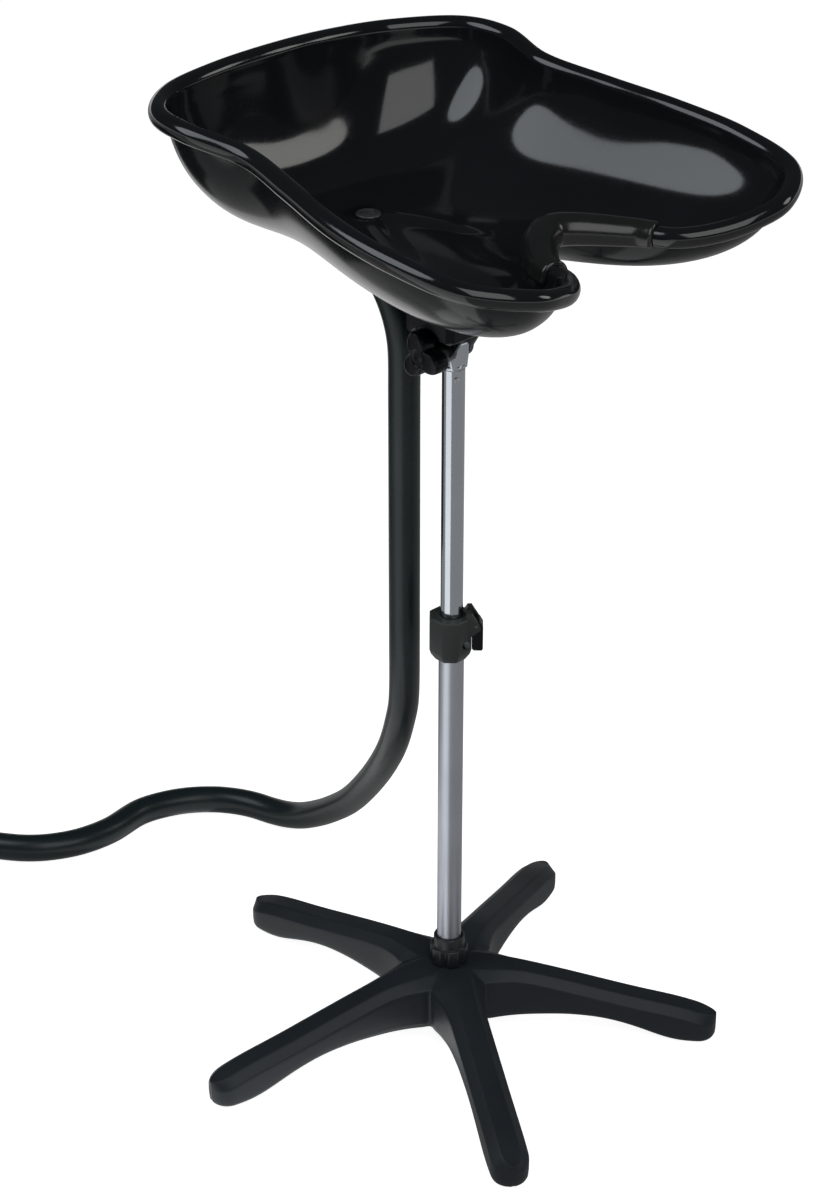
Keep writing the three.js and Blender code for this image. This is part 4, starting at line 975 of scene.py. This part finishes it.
size = knobSize
begin = size["bossLength"]
end = begin + size["head"]
knobRows = [
    (4.3, 0), (size["boss"] - 0.8, 0), (size["boss"] - 0.2, 0.3), (size["boss"], 1),
    (size["boss"], begin - 1.2), (size["boss"] + 0.4, begin - 0.3), (size["boss"] + 0.8, begin),
    (knobReach(3.0), begin + 0.2), (knobReach(1.2), begin + 0.9), (knobReach(0.3), begin + 2.2),
    (knobReach(0), begin + 3.6), (knobReach(0), end - 4.2), (knobReach(0.4), end - 2.4),
    (knobReach(1.6), end - 1.0), (knobReach(3.2), end - 0.3), (9.4, end), (8.8, end - 0.2),
    (8.2, end - 1.2), (3.4, end - 1.2), (2.6, end - 0.7),
]
grownPiece("tiltKnob", "tilt_knob", knobRows, onTiltAxis(nodeBox("tilt_knob")[1].x, -1),
           "knobMoulding", "knob", size["sides"], sharp=size["sharp"])

for number in range(1, 5):
    node = f"bracket_screw_{number}"
    low, high = nodeBox(node)
    length = (high.z - low.z) / mm
    screwRows = [(hexReach(1.4), 1.2), (hexReach(1.5), 0.1), (2.2, 0), (3.2, 0.35), (3.9, 1.1),
                 (4, 1.7), (4, 2.3), (2, 2.4), (2, length - 2), (0.4, length)]
    middle = (low + high) / 2
    grownPiece(f"bracketScrew{number}", node, screwRows,
               Matrix.Translation((middle.x, middle.y, low.z)), "zincSteel", "bowl",
               sides=48, sharp=40)
print("tilt joint made")

# Drain
drainMiddle = nodeMiddle("drain_flange")
drainPlace = Matrix.Translation((drainMiddle.x, drainMiddle.y, 0))


def drainSpan(node):
    low, high = nodeBox(node)
    return low.z / mm, high.z / mm


flangeSize = {"rise": 2.6, "steps": 96, "sharp": 50}
bottom, top = drainSpan("drain_flange")
seat = top - flangeSize["rise"]
flangeProfile = [
    (7.4, bottom), (9, bottom), (9, seat), (12.2, seat), (12.5, seat + 0.3), (12.4, seat + 0.9),
    (11.7, seat + 1.6), (10.4, seat + 2.2), (9.2, seat + 2.6), (8, seat + 2.6), (7.5, seat + 2.2),
    (7.5, seat), (5.9, seat - 1.5), (5.9, seat - 3),
]
turnedPiece("drainFlange", "drain_flange", flangeProfile, drainPlace, "drainMoulding", "bowl",
            flangeSize["steps"], sharp=flangeSize["sharp"])

strainerSize = {"steps": 72, "bars": [-4.5, -2.25, 0, 2.25, 4.5], "barReach": 6.2,
                "barHalf": 0.65, "barUnder": 0.2, "barDrop": 0.1, "barEdge": 0.25}
bottom, top = drainSpan("drain_strainer")
size = strainerSize
shape = bmesh.new()
turned(shape, [(5.6, bottom), (7.1, bottom), (7.2, bottom + 0.2), (7.1, top - 0.2), (6.8, top),
               (6, top), (5.6, top - 0.3)], size["steps"])
for at in size["bars"]:
    half = math.sqrt(size["barReach"] ** 2 - at ** 2)
    boxIn(shape, (at - size["barHalf"], -half, bottom + size["barUnder"]),
          (at + size["barHalf"], half, top - size["barDrop"]), size["barEdge"])
moved(shape, drainPlace)
finishedPiece("drainStrainer", shape, [finishes["drainMoulding"]], "bowl", ["drain_strainer"])

bottom, top = drainSpan("drain_gasket")
gasketProfile = [(9.3, bottom), (14.6, bottom), (15, bottom + 0.4), (15, top - 0.4), (14.6, top),
                 (9.3, top)]
turnedPiece("drainGasket", "drain_gasket", gasketProfile, drainPlace, "rubber", "bowl")

bottom, top = drainSpan("drain_nut")
nutRows = [(9.3, bottom), (13.6, bottom), (hexReach(16.4), bottom + 0.7),
           (hexReach(17), bottom + 1.4), (hexReach(17), top - 1.4), (hexReach(16.4), top - 0.7),
           (14.6, top), (9.3, top)]
grownPiece("drainNut", "drain_nut", nutRows, drainPlace, "knobMoulding", "bowl", sides=96,
           joinEnds=True, sharp=40)

softened("drain_elbow", "drainElbow", "knobMoulding", "bowl", width=0.4, segments=2,
         angle=50)
softened("hose_band", "hoseBand", "zincSteel", "bowl", width=0.25, segments=2)
print("drain made")

# Floor and light
studioSize = {
    "half": 12.0, "sides": 96, "colour": (0.78, 0.78, 0.78), "glow": 0.93, "wallHeight": 1.4,
    "wallGlow": 1.0, "floorDrop": 0.3, "roughness": 0.9, "specular": 0.1,
    "cardColour": (0.02, 0.02, 0.02), "cardStep": 3, "world": (0.038, 0.040, 0.043),
    "aimHeight": 0.75,
}
cards = {
    "darkCard": {"begin": 206, "end": 509, "inner": 0.02, "outer": 11.8, "lift": 0.002,
                 "glow": 0.34},
    "backCard": {"begin": 85, "end": 121, "inner": 1.08, "outer": 3.4, "lift": 0.004,
                 "glow": 0.02},
    "lightCard": {"begin": 53, "end": 83, "inner": 0.7, "outer": 2.0, "lift": 0.004, "glow": 0.8},
    "nearCard": {"begin": 80, "end": 147, "inner": 0.08, "outer": 0.5, "lift": 0.004,
                 "glow": 0.9},
}


def studioFinish(name, colour, glow):
    finish = plainFinish(name, colour, studioSize["roughness"], specular=studioSize["specular"])
    nodes, links = finish.node_tree.nodes, finish.node_tree.links
    shader = nodes["Principled BSDF"]
    shader.inputs["Emission Color"].default_value = (1, 1, 1, 1)
    rays = nodes.new("ShaderNodeLightPath")
    total = rays.outputs["Is Camera Ray"]
    for kind in ("Is Glossy Ray", "Is Transmission Ray"):
        seen = nodes.new("ShaderNodeMath")
        seen.operation = "ADD"
        seen.use_clamp = True
        links.new(total, seen.inputs[0])
        links.new(rays.outputs[kind], seen.inputs[1])
        total = seen.outputs[0]
    glowing = nodes.new("ShaderNodeMath")
    glowing.operation = "MULTIPLY"
    glowing.inputs[1].default_value = glow
    links.new(total, glowing.inputs[0])
    links.new(glowing.outputs[0], shader.inputs["Emission Strength"])
    return finish


shape = bmesh.new()
bmesh.ops.create_circle(shape, cap_ends=True, segments=studioSize["sides"],
                        radius=studioSize["half"])
floorLook = studioFinish("studioFloor", studioSize["colour"], studioSize["glow"])
floor = finishedPiece("studioFloor", shape, [floorLook], smooth=False)
floor.data.transform(Matrix.Translation((0, 0, -studioSize["floorDrop"] * mm)))

shape = bmesh.new()
bmesh.ops.create_circle(shape, cap_ends=False, segments=studioSize["sides"],
                        radius=studioSize["half"])
made = bmesh.ops.extrude_edge_only(shape, edges=shape.edges[:])
for vert in vertsOf(made):
    vert.co.z = studioSize["wallHeight"]
wallLook = studioFinish("studioWall", (0, 0, 0), studioSize["wallGlow"])
wall = finishedPiece("studioWall", shape, [wallLook])

# dark and light cards that only reflections show, as a photographer lays them round an object
for name, plan in cards.items():
    shape = bmesh.new()
    angles = [math.radians(at)
              for at in range(plan["begin"], plan["end"] + 1, studioSize["cardStep"])]
    near = [mast + Vector((math.cos(angle) * plan["inner"], math.sin(angle) * plan["inner"],
                           plan["lift"])) for angle in angles]
    scale = plan["outer"] / plan["inner"]
    far = [Vector((mast.x + (point.x - mast.x) * scale, mast.y + (point.y - mast.y) * scale,
                   point.z)) for point in near]
    skinRows(shape, [near, far], closed=False)
    cardLook = studioFinish(name, studioSize["cardColour"], plan["glow"])
    card = finishedPiece(name, shape, [cardLook], smooth=False)
    card.visible_camera = False
    card.visible_diffuse = False
    card.visible_transmission = False
    card.visible_shadow = False

world = bpy.data.worlds.new("studio")
bpy.context.scene.world = world
world.use_nodes = True
world.node_tree.nodes["Background"].inputs["Color"].default_value = (*studioSize["world"], 1)

lightPlan = {
    "leftSoftbox": {"form": "ELLIPSE", "around": 148, "up": 42, "away": 2.5,
                    "size": (1.5, 1.85), "power": 20.4, "tint": (0.90, 0.965, 1.0)},
    "rightSoftbox": {"form": "ELLIPSE", "around": -41, "up": 29, "away": 2.6,
                     "size": (0.9, 1.0), "power": 7, "tint": (1.0, 0.99, 0.965)},
    "frontSoftbox": {"form": "RECTANGLE", "around": -115, "up": 45, "away": 2.8,
                     "size": (2.3, 2.3), "power": 34, "tint": (1.0, 1.0, 1.0)},
}
for name, plan in lightPlan.items():
    lamp = bpy.data.lights.new(name, "AREA")
    lamp.shape = plan["form"]
    lamp.size, lamp.size_y = plan["size"]
    lamp.energy = plan["power"]
    lamp.color = plan["tint"]
    holder = bpy.data.objects.new(name, lamp)
    bpy.context.collection.objects.link(holder)
    around, up = math.radians(plan["around"]), math.radians(plan["up"])
    toward = Vector((math.cos(up) * math.cos(around), math.cos(up) * math.sin(around),
                     math.sin(up)))
    aim = mast + Vector((0, 0, studioSize["aimHeight"]))
    holder.location = aim + toward * plan["away"]
    holder.rotation_euler = (-toward).to_track_quat("-Z", "Y").to_euler()
bpy.context.scene.view_settings.view_transform = "Standard"
print("studio made")
